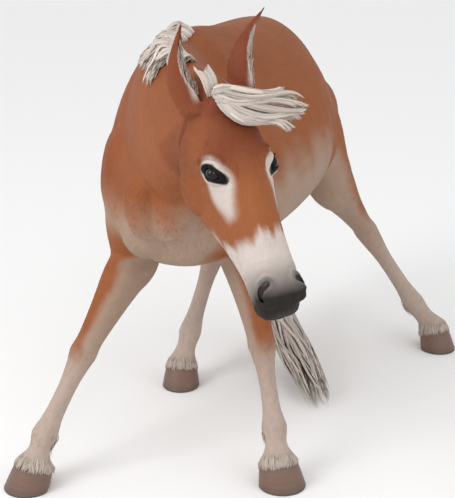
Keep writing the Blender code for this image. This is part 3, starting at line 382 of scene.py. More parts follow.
def eyeAxes(sign):
    # out of the eye, along its opening to the inner corner, and up across the lids
    outward = unit(sign * 0.87 * sideway + 0.46 * upward - 0.08 * along)
    inner = square(0.64 * along + 0.77 * unit(0.87 * upward - sign * 0.46 * sideway), outward)
    return outward, inner, np.cross(outward, inner) * -sign


def eyeCentre(sign):
    return inHead(sign * eyes["side"], eyes["along"], eyes["height"]) + eyes["out"] * eyeAxes(sign)[0]


def fromEye(points, sign):
    # how far points are along, up, out and away from an eye's centre
    outward, inner, up = eyeAxes(sign)
    rel = points - eyeCentre(sign)
    return rel @ inner, rel @ up, rel @ outward, np.linalg.norm(rel, axis=1)


def eyeDistance(points):
    return np.minimum(*[fromEye(points, sign)[3] for sign in (-1, 1)])


for leg in legs.values():
    leg["joints"] = mm(*leg["joints"])
    leg["side"] = 1 if leg["joints"][0][0] > 0 else -1
    turn = math.radians(leg["toeOut"])
    leg["toe"] = np.array([leg["side"] * math.sin(turn), -math.cos(turn), 0.0])


def coronetFrame(leg):
    # middle of the coronet, and its side, back and up axes
    size, slope = hooves[leg["kind"]], math.radians(hooves["slope"])
    up = math.cos(slope) * np.array([0, 0, 1.0]) - math.sin(slope) * leg["toe"]
    middle = leg["joints"][4] - leg["toe"] * size["rake"] + [0, 0, size["height"]]
    back = -square(leg["toe"], up)
    return middle, np.cross(back, up), back, up


def torsoShell():
    # each ring is a half ellipse below and, above, one whose parts are raised to a power
    turn, rings = circle(72), []
    across, lift = np.cos(turn), np.sin(turn)
    for y, x, top, middle, bottom, width, power in smoothRows(mm(*trunk["torso"]), 6):
        shape, reach = np.where(lift > 0, power, 1.0), np.where(lift > 0, top - middle, middle - bottom)
        sides, highs = np.sign(across) * np.abs(across) ** shape, np.sign(lift) * np.abs(lift) ** shape
        rings.append(np.stack([x + width * sides, y + 0 * turn, middle + reach * highs], axis=1))
    return tube(domed(rings))


def neckShell():
    rows = smoothRows(mm(*trunk["neck"]), 6)
    return rounded(rows[:, :3], [0.0, 0, 1], 56, rows[:, 3], rows[:, 4])


def headShell():
    # each ring is a smooth loop through eight points, from the forehead round the cheeks to the jaw
    rings = []
    for far, top, topWide, wide, wideAt, lowWide, bottom in smoothRows(mm(*head["stations"]), 6):
        shoulder, jaw = top - 0.22 * (top - wideAt), wideAt + 0.72 * (bottom - wideAt)
        half = [(0.0, top), (topWide, shoulder), (wide, wideAt), (lowWide, jaw), (0.0, bottom)]
        loop = np.array(half + [(-x, y) for x, y in half[-2::-1]])
        loop = smoothRows(np.vstack([loop[-2], loop, loop[1]]), 8)[8:-9]
        rings.append(inHead(loop[:, 0], np.full(len(loop), far), loop[:, 1]))
    return tube(domed(rings, 0.45))


def headMasses():
    # balls for eye, brow, cheek, nostril and lips, a crest along each cheek, and the chin
    parts = []
    for sign in (-1, 1):
        for centre, radii in (
            (eyeCentre(sign) - eyeAxes(sign)[0] * 0.001, [eyes["radius"] + 0.0055] * 3),
            (inHead(sign * 0.066, 0.186, -0.026), (0.028, 0.046, 0.02)),
            (inHead(sign * 0.074, 0.2, -0.19), (0.038, 0.085, 0.085)),
            (inHead(sign * 0.055, 0.569, -0.052), (0.023, 0.034, 0.026)),
            (inHead(sign * 0.03, 0.602, -0.088), (0.034, 0.03, 0.024)),
            (inHead(sign * 0.026, 0.585, -0.127), (0.03, 0.036, 0.02)),
        ):
            parts.append(ellipsoid(centre, radii, headTurn, 16, 28))
        path = headPath(sign, ((88, 235, -100), (83, 280, -98), (74, 325, -94), (68, 360, -90)), 4)
        parts.append(rounded(path, upward, 14, np.linspace(0.012, 0.006, len(path))))
    return [*parts, ellipsoid(inHead(0, 0.548, -0.138), (0.034, 0.036, 0.022), headTurn, 16, 28)]


def legShells(leg):
    # one tube down the bones; a hind leg also has the cord and knob of the hock and its muscles
    middle, side, back, up = coronetFrame(leg)
    joints, rows, fronts = np.vstack([leg["joints"][:4], middle]), [], []
    for place, *sizes in mm(*legSections[leg["kind"]]):
        rows.append((*pick(joints, place), *sizes))
        blend = min(1.0, place / 3)
        fronts.append(unit((1 - blend) * np.array([0.0, -1.0, 0.0]) + blend * leg["toe"]))
    rows = smoothRows(rows, 6)
    rings = list(ringsOf(rows[:, :3], smoothRows(fronts, 6), 40, *rows[:, 3:].T))
    size, turn = hooves[leg["kind"]]["coronet"], circle(40)
    depth = np.outer(size[1] * np.sin(turn), back)
    flat = middle + np.outer(size[0] * np.cos(turn), side) - depth
    if np.dot(flat[0] - middle, rings[-1][0] - middle) < 0:
        flat = middle - np.outer(size[0] * np.cos(turn), side) - depth
    parts = [tube([*rings[:-1], flat, flat - up * 0.006])]
    if leg["kind"] == "hind":
        stifle, hock, fetlock = joints[1:4]
        high = unit(stifle - hock)
        rear = square(unit(hock - fetlock), high)
        knob, start = hock + rear * 0.052 + high * 0.058, stifle + 0.42 * (hock - stifle) + rear * 0.055
        path = smoothRows([start, 0.5 * (start + knob) + rear * 0.004, knob], 5)
        size = np.interp(np.linspace(0, 1, len(path)), (0, 0.6, 1), (0.03, 0.015, 0.02))
        parts.append(rounded(path, unit(np.cross(high, rear)), 16, size * 0.7, size))
        parts.append(ellipsoid(knob - high * 0.008, (0.026, 0.026, 0.0325)))
        for points, sizes in leg["muscles"]:
            size = smoothRows(mm(*sizes), 6)
            path = smoothRows(mm(*points) * (leg["side"], 1, 1), 6)
            parts.append(rounded(path, [0.0, -1.0, 0.0], 24, size[:, 0], size[:, 1], 0.8))
    return parts


def earAxes(spec):
    # towards the tip, out of the back of the cup, and across
    points = unit(spec["points"])
    back = -square(np.array(spec["opens"]), points)
    return points, back, np.cross(points, back)


def earMiddle(spec, share):
    # the base plus the share of the length, leaning back by a half wave
    points, back, _ = earAxes(spec)
    share = np.asarray(share, float)
    lean = np.multiply.outer(0.022 * np.sin(math.pi * share), back)
    return inHead(*spec["base"]) + np.multiply.outer(ears["length"] * share, points) + lean


def earPath(name):
    return earMiddle(ears[name], np.linspace(0.0, 1.02, 14))


def earNearness(points):
    # 1 near either ear's middle line
    return np.maximum(*[nearPath(points, earPath(name), 0.085, 0.055) for name in ("right", "left")])


def earShell(spec):
    # a cup: at each share of the length an arc round the back, outside the wall and back inside it
    points, back, side = earAxes(spec)
    rings = []
    for share, radius, closing in smoothRows(ears["stations"], 3):
        centre = earMiddle(spec, share)
        if share < 0:
            centre = inHead(*spec["root"]) * (-share / 0.1) + earMiddle(spec, 0.0) * (1 + share / 0.1)
        wall = min(ears["wall"], 0.75 * radius)
        turn = np.radians(np.linspace(-closing, closing, 25))
        arc = np.outer(np.sin(turn), side) + ears["depth"] * np.outer(np.cos(turn), back)
        rings.append(np.vstack([centre + radius * arc, centre + (radius - wall) * arc[::-1]]))
    rings = np.array(rings)
    rows, across = rings.shape[:2]
    faces = gridFaces(rows, across, False)
    for start, flip in ((0, 1), ((rows - 1) * across, -1)):
        for i in range(across // 2 - 1):
            faces.append([start + i, start + i + 1, start + across - 2 - i, start + across - 1 - i][::flip])
    return rings.reshape(-1, 3), faces


def relaxed(points, edges, strength, rounds):
    # each point moves towards the mean of its neighbours by its own strength, again and again
    a, b = edges.T
    count = np.bincount(edges.ravel(), minlength=len(points))[:, None]
    for _ in range(rounds):
        total = np.stack([np.bincount(a, column[b], len(points)) + np.bincount(b, column[a], len(points))
                          for column in points.T], 1)
        points = points + strength[:, None] * (total / count - points)
    return points


def surfaceTree(piece):
    return BVHTree.FromObject(piece, bpy.context.evaluated_depsgraph_get())


def onSurface(tree, path):
    # each point of a path moved to the nearest place on the surface
    return np.array([np.array(tree.find_nearest(Vector(p + shift))[0]) - shift for p in path])


skinShape = {"voxel": 0.0045, "rounds": 22, "headRounds": 4, "inset": 0.0012, "triangles": 186000,
             "eyeGap": 0.0006}

# long shallow forms on the body: the sides they are on, width, height, and points near the surface
reliefs = (
    ((1, -1), 30, -10, (260, 60, 1200), (290, 80, 1050), (290, 100, 900), (240, 120, 760)),
    ((1, -1), 26, -7, (200, -100, 1180), (230, -130, 1020), (220, -140, 900)),
    ((1, -1), 30, 6, (240, -50, 1100), (270, -60, 980), (250, -80, 860)),
    ((1, -1), 34, -12, (320, 720, 1060), (330, 700, 920), (300, 660, 780)),
    ((1,), 22, -7, (200, 1100, 1120), (260, 1060, 980), (270, 1040, 840), (280, 1050, 700)),
    ((1,), 22, -7, (-200, 1100, 1120), (-260, 1060, 980), (-250, 1000, 840), (-240, 920, 700)),
    ((1,), 22, -16, (5, -280, 1020), (5, -300, 920), (5, -280, 800), (5, -200, 680)),
    ((1, -1), 18, -7, (115, -200, 930), (125, -220, 850), (115, -200, 760)),
    ((1,), 30, 6, (60, -260, 880), (62, -270, 800)),
    ((1,), 30, 6, (-55, -260, 880), (-58, -270, 800)),
)


def buildSkin():
    # all shells made one by voxels, relaxed, and raised or sunk along the reliefs
    shells = [torsoShell(), neckShell(), headShell(), *headMasses()]
    shells += [earShell(ears[name]) for name in ("right", "left")]
    for side, y, z, *radii, tilt in trunk["masses"]:
        turned = Matrix.Rotation(math.radians(tilt), 3, "X")
        shells += [ellipsoid((sign * side, y, z), radii, turned, 20, 32) for sign in (-1, 1)]
    for leg in legs.values():
        shells += legShells(leg)
    skin = meshObject("skin", *joined(shells))
    remesh = skin.modifiers.new("oneSkin", "REMESH")
    remesh.mode, remesh.voxel_size = "VOXEL", skinShape["voxel"]
    applied(skin)
    print("skin: remeshed", len(skin.data.polygons))

    points, edges = pointsOf(skin), edgesOf(skin)
    # 1 on the face and ears, 0 on the trunk, with a soft change across the throat
    face = np.maximum(onFace(toHead(points), -0.02, 0.06), earNearness(points))
    low = ramp(points[:, 2], 0.62, 0.45)
    points = relaxed(points, edges, 0.5 * (1 - face) * (1 - 0.75 * low), skinShape["rounds"])
    points = relaxed(points, edges, 0.5 * np.ones(len(points)), skinShape["headRounds"])
    setPoints(skin, points)

    tree, normals = surfaceTree(skin), normalsOf(skin)
    lift = np.full(len(points), -skinShape["inset"])
    for signs, width, height, *course in reliefs:
        for sign in signs:
            path = onSurface(tree, smoothRows(mm(*course) * (sign, 1, 1), 5))
            lift += ridge(points, path, width / 1000, height / 1000, (-0.05, 0.2))
    # ribs: faint waves along the barrel
    x, y, z = points.T
    barrel = ramp(y, 0.15, 0.3) * ramp(y, 0.72, 0.6) * ramp(z, 0.72, 0.85) * ramp(z, 1.22, 1.05)
    lift += 0.0016 * barrel * np.sin((y + 0.25 * (z - 0.9)) * 2 * math.pi / 0.075)
    # low broad swells keep the big surfaces from looking turned on a lathe
    swell = sum(np.sin(points @ (np.array(w) * f) + p) for w, f, p in
                (((1, 0.3, 0.5), 17, 0.0), ((0.2, 1, -0.6), 13, 1.7), ((-0.5, 0.4, 1), 19, 3.1)))
    lift += 0.0014 * swell * (1 - face) * ramp(z, 0.5, 0.7)
    setPoints(skin, points + normals * lift[:, None])
    return skin


def nostrilPath(sign):
    # a comma: from a round inner end, out and back in a narrow curve
    outward = unit(sign * 0.55 * sideway + 0.66 * upward + 0.5 * along)
    across = square(sign * sideway, outward)
    down = square(square(along, outward), across)
    start = inHead(*(np.array(head["nostril"]) * (sign, 1, 1))) + outward * 0.01
    path = [start + a * across + d * down for a, d in mm((-4, -26), (7, -16), (12.5, 0), (9, 16), (-3, 24))]
    return smoothRows(path, 5), outward


def finerFace(skin):
    # splits the faces round the eyes, nostrils and lips, so that their folds have points to stand on
    points = pointsOf(skin)
    local = toHead(points)
    close = (local[:, 1] > 0.47) & (local[:, 1] < 0.7) & (np.abs(local[:, 0]) < 0.12)
    close = close & (local[:, 2] > -0.2) & (local[:, 2] < 0.05) | (eyeDistance(points) < 0.062)
    shape = bmesh.new()
    shape.from_mesh(skin.data)
    shape.verts.ensure_lookup_table()
    edges = [e for e in shape.edges if close[e.verts[0].index] and close[e.verts[1].index]]
    bmesh.ops.subdivide_edges(shape, edges=edges, cuts=1, use_grid_fill=True)
    bmesh.ops.triangulate(shape, faces=shape.faces)
    shape.to_mesh(skin.data)
    shape.free()
    points = pointsOf(skin)
    local = toHead(points)
    near = (local[:, 1] > 0.46) & (local[:, 1] < 0.7) & (np.abs(local[:, 0]) < 0.12)
    near = near | (eyeDistance(points) < 0.066)
    setPoints(skin, relaxed(points, edgesOf(skin), 0.5 * near, 3))


def mouthPath(tree):
    # looking out from the middle of the muzzle, the place where the lips meet
    inside, path = inHead(0.0, 0.52, head["mouth"]), []
    for degrees in np.linspace(-108, 108, 61):
        turn = math.radians(degrees)
        start = inside + upward * (0.0035 * math.cos(turn * 2.2) - 0.01 * abs(degrees / 108) ** 2)
        way = unit(math.sin(turn) * sideway + math.cos(turn) * along)
        path.append(np.array(tree.ray_cast(Vector(start + shift), Vector(way))[0]) - shift)
    return np.array(path)


# veins, crests and hollows of each side of the face: width, height, and points in the head
faceForms = (
    (20, -6, (75, 150, -30), (86, 128, -46)),
    (5.5, 2.2, (84, 270, -60), (74, 330, -52), (66, 390, -50), (60, 440, -60)),
    (5, 1.8, (86, 290, -110), (78, 350, -104), (72, 400, -110)),
    (26, -4, (100, 180, -120), (98, 240, -136), (84, 300, -150)),
    (12, -3, (74, 430, -110), (70, 480, -118), (68, 520, -120)),
    (12, 1.2, (30, 300, 10), (30, 380, 6), (30, 460, -2)),
    (14, -2.4, (52, 480, -20), (50, 520, -22)),
    (12, -8, (82, 30, -110), (98, 60, -180), (98, 90, -240), (88, 135, -285)),
    (30, 3, (92, 130, -110), (102, 150, -180), (98, 180, -235)),
)


def carveFace(skin):
    # the lips' line, the nostrils' rims, the lids and the forms of the face, each a bell across its line
    points, normals, tree = pointsOf(skin), normalsOf(skin), surfaceTree(skin)
    local = toHead(points)
    mouth = mouthPath(tree)
    distance, share = alongPath(points, mouth, 0.03)
    lips = -0.006 * bump(distance, 0.0032) + 0.0022 * bump(distance - 0.01, 0.006)
    lift = ramp(np.minimum(share, 1 - share), -0.01, 0.08) * lips
    for sign in (-1, 1):
        distance, _ = alongPath(points, onSurface(tree, nostrilPath(sign)[0]), 0.05)
        lift += 0.0042 * bump(distance - 0.0145, 0.0065) - 0.003 * bump(distance - 0.03, 0.008)
        a, b, c, away = fromEye(points, sign)
        oval = np.sqrt((a / 0.031) ** 2 + (b / 0.019) ** 2)  # 1 on the lids' edge
        fold = 0.0032 * bump(oval - 1.3, 0.22)  # lids stand round the ball
        fold -= 0.0034 * bump(oval - 1.85, 0.18) * ramp(b, -0.004, 0.012)  # fold over the upper lid
        fold -= 0.002 * bump(oval - 1.8, 0.2) * ramp(b, -0.002, -0.012)
        fold += 0.0048 * bump(oval - 2.45, 0.42) * ramp(b, 0.0, 0.02)  # brow
        lift += fold * (away < 0.085) * (c > -0.02)
        for width, height, *course in faceForms:
            path = onSurface(tree, headPath(sign, course, 4))
            lift += ridge(points, path, width / 1000, height / 1000, (-0.1, 0.15))
    # fine creases on the lips and the end of the nose
    s, f, h = local.T
    lift += 0.0005 * ramp(f, 0.53, 0.58) * np.sin(s * 420) * np.sin(h * 260 + s * 80)
    setPoints(skin, points + normals * lift[:, None])
    return mouth


def cut(piece, cutters):
    group = bpy.data.collections.new("cutters")
    for item in cutters:
        group.objects.link(item)
    modifier = piece.modifiers.new("cut", "BOOLEAN")
    modifier.operation, modifier.solver = "DIFFERENCE", "MANIFOLD"
    modifier.operand_type, modifier.collection = "COLLECTION", group
    applied(piece)
    for item in cutters:
        bpy.data.objects.remove(item)
    bpy.data.collections.remove(group)


def almond(sign, size, lift=0.0, count=64):
    # the lids' edge: an oval drawn to a point at the inner corner and flatter below, laid on a globe
    outward, inner, up = eyeAxes(sign)
    turn = circle(count)
    c, s = np.cos(turn), np.sin(turn)
    a = size * (0.0285 * c + 0.005 * np.maximum(c, 0) ** 4)
    b = size * (np.where(s > 0, 0.0172, 0.0134) * s * (1 - 0.25 * c**2) - 0.003 * c)
    radius = eyes["radius"] + lift
    depth = np.sqrt(np.maximum(radius**2 - (a**2 + b**2) * 0.9, (0.35 * radius) ** 2))
    return eyeCentre(sign) + np.outer(a, inner) + np.outer(b, up) + np.outer(depth, outward), turn


def eyeOpening(sign):
    # the lids' edge carried straight out, widening
    outward, middle = eyeAxes(sign)[0], eyeCentre(sign)
    flat = almond(sign, 1.0)[0] - middle
    flat = flat - np.outer(flat @ outward, outward)
    rings = [middle + flat * size + outward * eyes["radius"] * depth
             for depth, size in ((0.25, 0.85), (0.85, 1.0), (1.3, 1.12), (2.4, 1.5))]
    return meshObject("opening", *tube(rings))


def nostrilHole(sign):
    path, outward = nostrilPath(sign)
    width = pick([[0.005], [0.007], [0.0088], [0.0085], [0.006]], np.linspace(0, 4, len(path)))[:, 0]
    return meshObject("nostril", *rounded(path, outward, 18, width * 2.4, width, 0.8))


def thinned(skin):
    # fewer triangles on the trunk and legs, all of them kept on the face and ears
    points = pointsOf(skin)
    local = toHead(points)
    face = np.maximum(onFace(local, 0.02, 0.12), earNearness(points))
    fine = np.maximum(ramp(eyeDistance(points), 0.075, 0.05), onFace(local, 0.46, 0.5, 0.12, -0.25))
    levels = np.round(np.clip(1 - 0.72 * face - 0.28 * fine, 0, 1) * 20).astype(int)
    group = skin.vertex_groups.new(name="thin")
    for level in range(1, 21):
        group.add(np.where(levels == level)[0].tolist(), level / 20, "REPLACE")
    thin = skin.modifiers.new("thin", "DECIMATE")
    thin.vertex_group, thin.vertex_group_factor = "thin", 1.0
    thin.ratio = skinShape["triangles"] / len(skin.data.polygons)
    applied(skin)
    skin.vertex_groups.clear()
    skin.data.polygons.foreach_set("use_smooth", np.ones(len(skin.data.polygons), bool))
    print("skin: thinned to", len(skin.data.polygons))


skin = buildSkin()
finerFace(skin)
mouthLine = carveFace(skin)
for sign in (-1, 1):
    socketSize = [eyes["radius"] + skinShape["eyeGap"]] * 3
    socket = meshObject("socket", *ellipsoid(eyeCentre(sign), socketSize, rings=24, sides=40))
    cut(skin, [socket, eyeOpening(sign), nostrilHole(sign)])
thinned(skin)
skinTree = surfaceTree(skin)


def markings(points, normals):
    # how pale, white, dark, black or deep red the coat is at each place, and where it is leg; the black and
    # the deep red also hold painted shade
    local = toHead(points)
    s, f, h = np.abs(local[:, 0]), local[:, 1], local[:, 2]
    x, y, z = points.T
    onHead = np.maximum(onFace(local, -0.02, 0.03, 0.17, -0.36) * (z > 0.7), earNearness(points))
    body = 1 - onHead
    wobble = 0.018 * np.sin(y * 23 + x * 9) + 0.012 * np.sin(y * 51 + z * 17)
    wobble = wobble + 0.01 * np.sin(x * 47 + z * 31)
    # belly and breast: below a line that is lower over the breast and thigh
    line = np.interp(y, (-0.35, -0.1, 0.1, 0.4, 0.65, 0.8, 1.0, 1.25),
                     (0.885, 0.845, 0.93, 0.955, 0.93, 0.84, 0.8, 0.86))
    inside = ramp(-normals[:, 2], 0.1, 0.6) * ramp(y, 0.35, 0.6)
    pale = np.maximum(ramp(line + wobble - z, -0.085, 0.085), inside * ramp(z, 0.98, 0.86))
    # chestnut again down the front and outer side of each leg, to the knee or hock
    for leg in legs.values():
        high, middle = leg["joints"][1:3]
        path = np.array([high + (0, 0, 0.1), high, middle, middle + 0.25 * (middle - high)])
        outer, rear, top = (normals * (leg["side"], 1, 1)).T
        if leg["kind"] == "fore":
            facing = 0.8 * outer - 0.45 * rear - 0.1 * top
            if leg["side"] > 0:
                facing = 0.85 * outer - 0.45 * rear - 0.25
            stop = ramp(z, middle[2] - 0.03, middle[2] + 0.04)
            red = ramp(facing + 3 * wobble, -0.05, 0.4) * stop * ramp(z, 0.84, 0.72)
        else:
            facing = 0.7 * outer + 0.6 * rear
            red = ramp(facing + 3 * wobble, 0.35, 0.75) * ramp(z, middle[2] + 0.02, middle[2] + 0.14) * 0.9
        pale = pale * (1 - red * nearPath(points, path, 0.2, 0.14))
    pale = np.maximum(pale, ramp(z, 0.44, 0.36)) * body
    # white muzzle with a streaked edge, dark nose
    around = local[:, 0] - 0.3 * h
    streak = 0.01 * np.sin(around * 118 + 1.0) + 0.006 * np.sin(around * 263)
    streak = streak + 0.003 * np.sin(around * 611 + 2.0)
    edge = 0.408 - 0.1 * np.clip(-h - 0.03, 0, 0.1) + streak
    white = onHead * np.maximum(ramp(f - edge, -0.022, 0.022), ramp(-h, 0.155, 0.2) * ramp(f, 0.31, 0.38))
    noseFrom = 0.5 - 0.25 * np.clip(s - 0.045, 0, 0.1) + 0.08 * np.clip(-h - 0.04, 0, 0.14)
    dark = onHead * np.clip((f - noseFrom + 0.026) / 0.11, 0, 1) ** 1.1
    # black along the lips' line is painted shade in the slit where they meet
    black, jawCreaseShade = nearPath(points, mouthLine, 0.005, 0.002) * 0.8, 0
    for sign in (-1, 1):
        # white round each eye and down the cheek, a dark rim, a dark nostril with painted shade in its
        # hole, painted shade in the jaw's crease
        course = headPath(sign, ((94, 192, -40), (86, 235, -36), (80, 275, -52), (70, 318, -56)), 4)
        distance, share = alongPath(points, course, 0.09)
        reach = np.interp(share, (0, 0.35, 0.7, 1), (0.037, 0.043, 0.036, 0.02))
        soft = 0.012 + 0.016 * share ** 2
        white = np.maximum(white, ramp((reach + 0.25 * wobble - distance) / soft, -0.9, 0.9))
        a, b, c, away = fromEye(points, sign)
        oval = np.hypot(a / np.where(a > 0, 0.049, 0.044), (b + 0.14 * a) / np.where(b > 0, 0.025, 0.0205))
        oval = oval + 0.1 * ramp(oval, 0.8, 1.2) * np.cos(4 * np.arctan2(b, a) + math.pi)
        black = np.maximum(black, ramp(oval, 1.1, 0.88) * (c > -0.01) * (away < 0.06))
        nostril = nostrilPath(sign)[0]
        dark = np.maximum(dark, nearPath(points, nostril, 0.034, 0.018) * 0.72)
        black = np.maximum(black, nearPath(points, nostril, 0.0125, 0.0085) * 0.95)
        course = headPath(sign, ((82, 30, -110), (98, 60, -180), (98, 90, -240), (88, 135, -285)), 4)
        jawCreaseShade = np.maximum(jawCreaseShade, nearPath(points, course, 0.034, 0.008))
    # white hair in the cup of each ear, a dark edge towards the tip
    for name, end in (("right", 0.72), ("left", 0.93)):
        distance, share = alongPath(points, earPath(name), 0.09)
        cup = ramp(distance, 0.075, 0.06) * ramp(-(normals @ earAxes(ears[name])[1]), 0.15, 0.5)
        white = np.maximum(white, cup * ramp(share, 0.05, 0.2) * 0.85 * ramp(share, end, 0.5))
    white = np.maximum(white, 0.42 * ramp(z, 0.5, 0.25) * body)
    # deep red: darker over the upper face and along the top of the neck and withers, and painted shade on
    # the right of the breast and in the crease behind the jaw
    deep = onHead * ramp(f, 0.3, 0.12) * (0.55 + 0.45 * ramp(h, -0.08, 0.0))
    for more in (0.3 * ramp(z, 1.12, 1.34) * body * ramp(y, 0.9, 0.1), 0.9 * jawCreaseShade,
                 0.42 * ramp(x, 0.05, -0.25) * ramp(y, 0.3, 0.0) * ramp(z, 0.85, 1.0) * body):
        deep = np.maximum(deep, more)
    return {"pale": pale, "white": white, "dark": dark, "black": black, "deep": np.clip(deep, 0, 1),
            "limb": ramp(z, 0.66, 0.52), "onHead": onHead}


def putMarkings(piece, marks, repeat=1):
    for name in ("pale", "white", "dark", "black", "deep", "limb"):
        putAttribute(piece, name, np.repeat(marks[name], repeat))


skinPoints, skinNormals = pointsOf(skin), normalsOf(skin)
skinMarks = markings(skinPoints, skinNormals)
putMarkings(skin, skinMarks)
print("skin: marked")


def put(socket, value):
    # a number, a colour or another node's output, into an input
    if isinstance(value, shaderValue):
        socket.id_data.links.new(value.socket, socket)
    else:
        short = np.ndim(value) and len(socket.default_value) > len(value)
        socket.default_value = (*value, 1.0) if short else value


def addNode(tree, kind, output, settings=(), **values):
    # a node with its settings made and its inputs filled, as the value of one of its outputs
    node = tree.nodes.new("ShaderNode" + kind)
    for name, value in dict(settings).items():
        setattr(node, name, value)
    for name, value in values.items():
        put(node.inputs[name.replace("_", " ")], value)
    return shaderValue(node.outputs[output])


def doMath(operation, first, second):
    tree = (first if isinstance(first, shaderValue) else second).tree
    node = tree.nodes.new("ShaderNodeMath")
    node.operation = operation
    put(node.inputs[0], first)
    put(node.inputs[1], second)
    return shaderValue(node.outputs[0])


class shaderValue:
    # the output of a node; sums and products with it add Math nodes
    def __init__(self, socket):
        self.socket, self.tree = socket, socket.id_data

    def __add__(self, other):
        return doMath("ADD", self, other)

    def __mul__(self, other):
        return doMath("MULTIPLY", self, other)

    def __sub__(self, other):
        return doMath("SUBTRACT", self, other)

    def __rsub__(self, other):
        return doMath("SUBTRACT", other, self)


def mixed(factor, first, second):
    # the first colour, with the second over it by the factor
    return addNode(factor.tree, "Mix", "Result", {"data_type": "RGBA"}, Factor=factor, A=first, B=second)


def scaled(colour, level):
    return addNode(level.tree, "VectorMath", "Vector", {"operation": "SCALE"}, Vector=colour, Scale=level)


def noise(vector, scale, detail=3.0, roughness=0.5):
    return addNode(vector.tree, "TexNoise", "Fac", Vector=vector, Scale=scale, Detail=detail,
                   Roughness=roughness)


def strokes(vector, scale, detail=4.0, roughness=0.6):
    # noise drawn out by a different scale each way
    place = addNode(vector.tree, "Mapping", "Vector", Scale=scale, Vector=vector)
    return noise(place, 1.0, detail, roughness)


def attribute(tree, name):
    return addNode(tree, "Attribute", "Fac", {"attribute_name": name})


def objectPlace(tree):
    return addNode(tree, "TexCoord", "Object")


def putBump(shader, height, strength, distance):
    raised = addNode(height.tree, "Bump", "Normal", Strength=strength, Distance=distance, Height=height)
    put(shader.inputs["Normal"], raised)


def plainMaterial(name, roughness, specular=0.5, colour=None):
    surface = bpy.data.materials.new(name)
    surface.use_nodes = True
    shader = surface.node_tree.nodes["Principled BSDF"]
    shader.inputs["Roughness"].default_value = roughness
    shader.inputs["Specular IOR Level"].default_value = specular
    if colour:
        put(shader.inputs["Base Color"], colour)
    return surface, surface.node_tree, shader


# deep is a darker red, laid on both as the coat's colour and as painted shade
coatColours = {
    "chestnut": (0.272, 0.088, 0.031), "deep": (0.16, 0.038, 0.016), "warm": (0.315, 0.108, 0.041),
    "pale": (0.345, 0.238, 0.178), "white": (0.54, 0.47, 0.43), "dark": (0.022, 0.018, 0.016),
    "black": (0.006, 0.005, 0.005),
}


def coatGroup():
    # one group for skin and coat: the markings choose the colour, and mottling breaks it up
    group = bpy.data.node_groups.new("coatColour", "ShaderNodeTree")
    group.interface.new_socket("Vector", in_out="INPUT", socket_type="NodeSocketVector")
    for mark in ("Pale", "White", "Dark", "Black", "Deep", "Shade"):
        group.interface.new_socket(mark, in_out="INPUT", socket_type="NodeSocketFloat")
    group.interface.new_socket("Color", in_out="OUTPUT", socket_type="NodeSocketColor")
    given = {socket.name: shaderValue(socket) for socket in group.nodes.new("NodeGroupInput").outputs}
    fine = strokes(given["Vector"], (60.0, 16.0, 40.0))
    warm = doMath("MAXIMUM", (noise(given["Vector"], 5.0, 4.0) - 0.45) * 1.1, 0.0)
    # the deep red over the chestnut, partly painted shade
    colour = mixed(given["Deep"], coatColours["chestnut"], coatColours["deep"])
    colour = mixed(warm, colour, coatColours["warm"])
    for mark in ("Pale", "White", "Dark", "Black"):
        amount = given[mark]
        if mark in ("Pale", "White"):
            # the edge of a marking is broken by the fine strokes
            amount = amount + (fine - 0.5) * 0.3 * (amount * (1.0 - amount) * 4.0)
            amount = doMath("MINIMUM", doMath("MAXIMUM", amount, 0.0), 1.0)
        colour = mixed(amount, colour, coatColours[mark.lower()])
    level = fine * 0.18 + 0.91 + given["Shade"] * 0.1
    put(group.nodes.new("NodeGroupOutput").inputs["Color"], scaled(colour, level))
    return group


coatNodes = coatGroup()


def coatMaterial(name, roughness, tufted):
    surface, tree, shader = plainMaterial(name, roughness, 0.14)
    place, marks = objectPlace(tree), ["Pale", "White", "Dark", "Black", "Deep"] + ["Shade"] * tufted
    marks = {mark: attribute(tree, mark.lower()) for mark in marks}
    colour = addNode(tree, "Group", "Color", {"node_tree": coatNodes}, Vector=place, **marks)
    put(shader.inputs["Base Color"], colour)
    if not tufted:
        # hair strokes: long along the body on the trunk, long down the leg on the legs
        limb = attribute(tree, "limb")
        body, leg = strokes(place, (260.0, 46.0, 200.0)), strokes(place, (300.0, 300.0, 60.0))
        putBump(shader, leg * limb + body * (1.0 - limb), 0.28, 0.0016)
    return surface


skin.data.materials.clear()
skin.data.materials.append(coatMaterial("shortCoat", 0.62, False))
tuftMaterial = coatMaterial("coatTufts", 0.6, True)


def hairMaterial(name, light, groove):
    # long hair: strands from a noise that is long along the lock and fine across it; the strands have two
    # tones, and the darker groove tone is also painted shade between them
    surface, tree, shader = plainMaterial(name, 0.55, 0.3)
    uv = addNode(tree, "UVMap", "UV", {"uv_map": "strand"})
    both = strokes(uv, (11.0, 1.1, 1.0), 3.0) * 0.65 + strokes(uv, (34.0, 2.0, 1.0), 2.0, 0.5) * 0.35
    amount = addNode(tree, "MapRange", "Result", From_Min=0.32, From_Max=0.56, Value=both)
    level = attribute(tree, "shade") * 0.34 + 0.92
    put(shader.inputs["Base Color"], scaled(mixed(amount, groove, light), level))
    putBump(shader, both, 0.35, 0.0024)
    return surface


maneMaterial = hairMaterial("longHair", (0.6, 0.525, 0.47), (0.385, 0.325, 0.278))
# the tail's hair is painted lighter than the mane's, as painted light against the shade it hangs in under
# the body
tailPaintedLightMaterial = hairMaterial("tailHairPaintedLight", (0.64, 0.57, 0.515), (0.47, 0.405, 0.355))
featherMaterial = hairMaterial("featherHair", (0.5, 0.42, 0.362), (0.39, 0.312, 0.26))


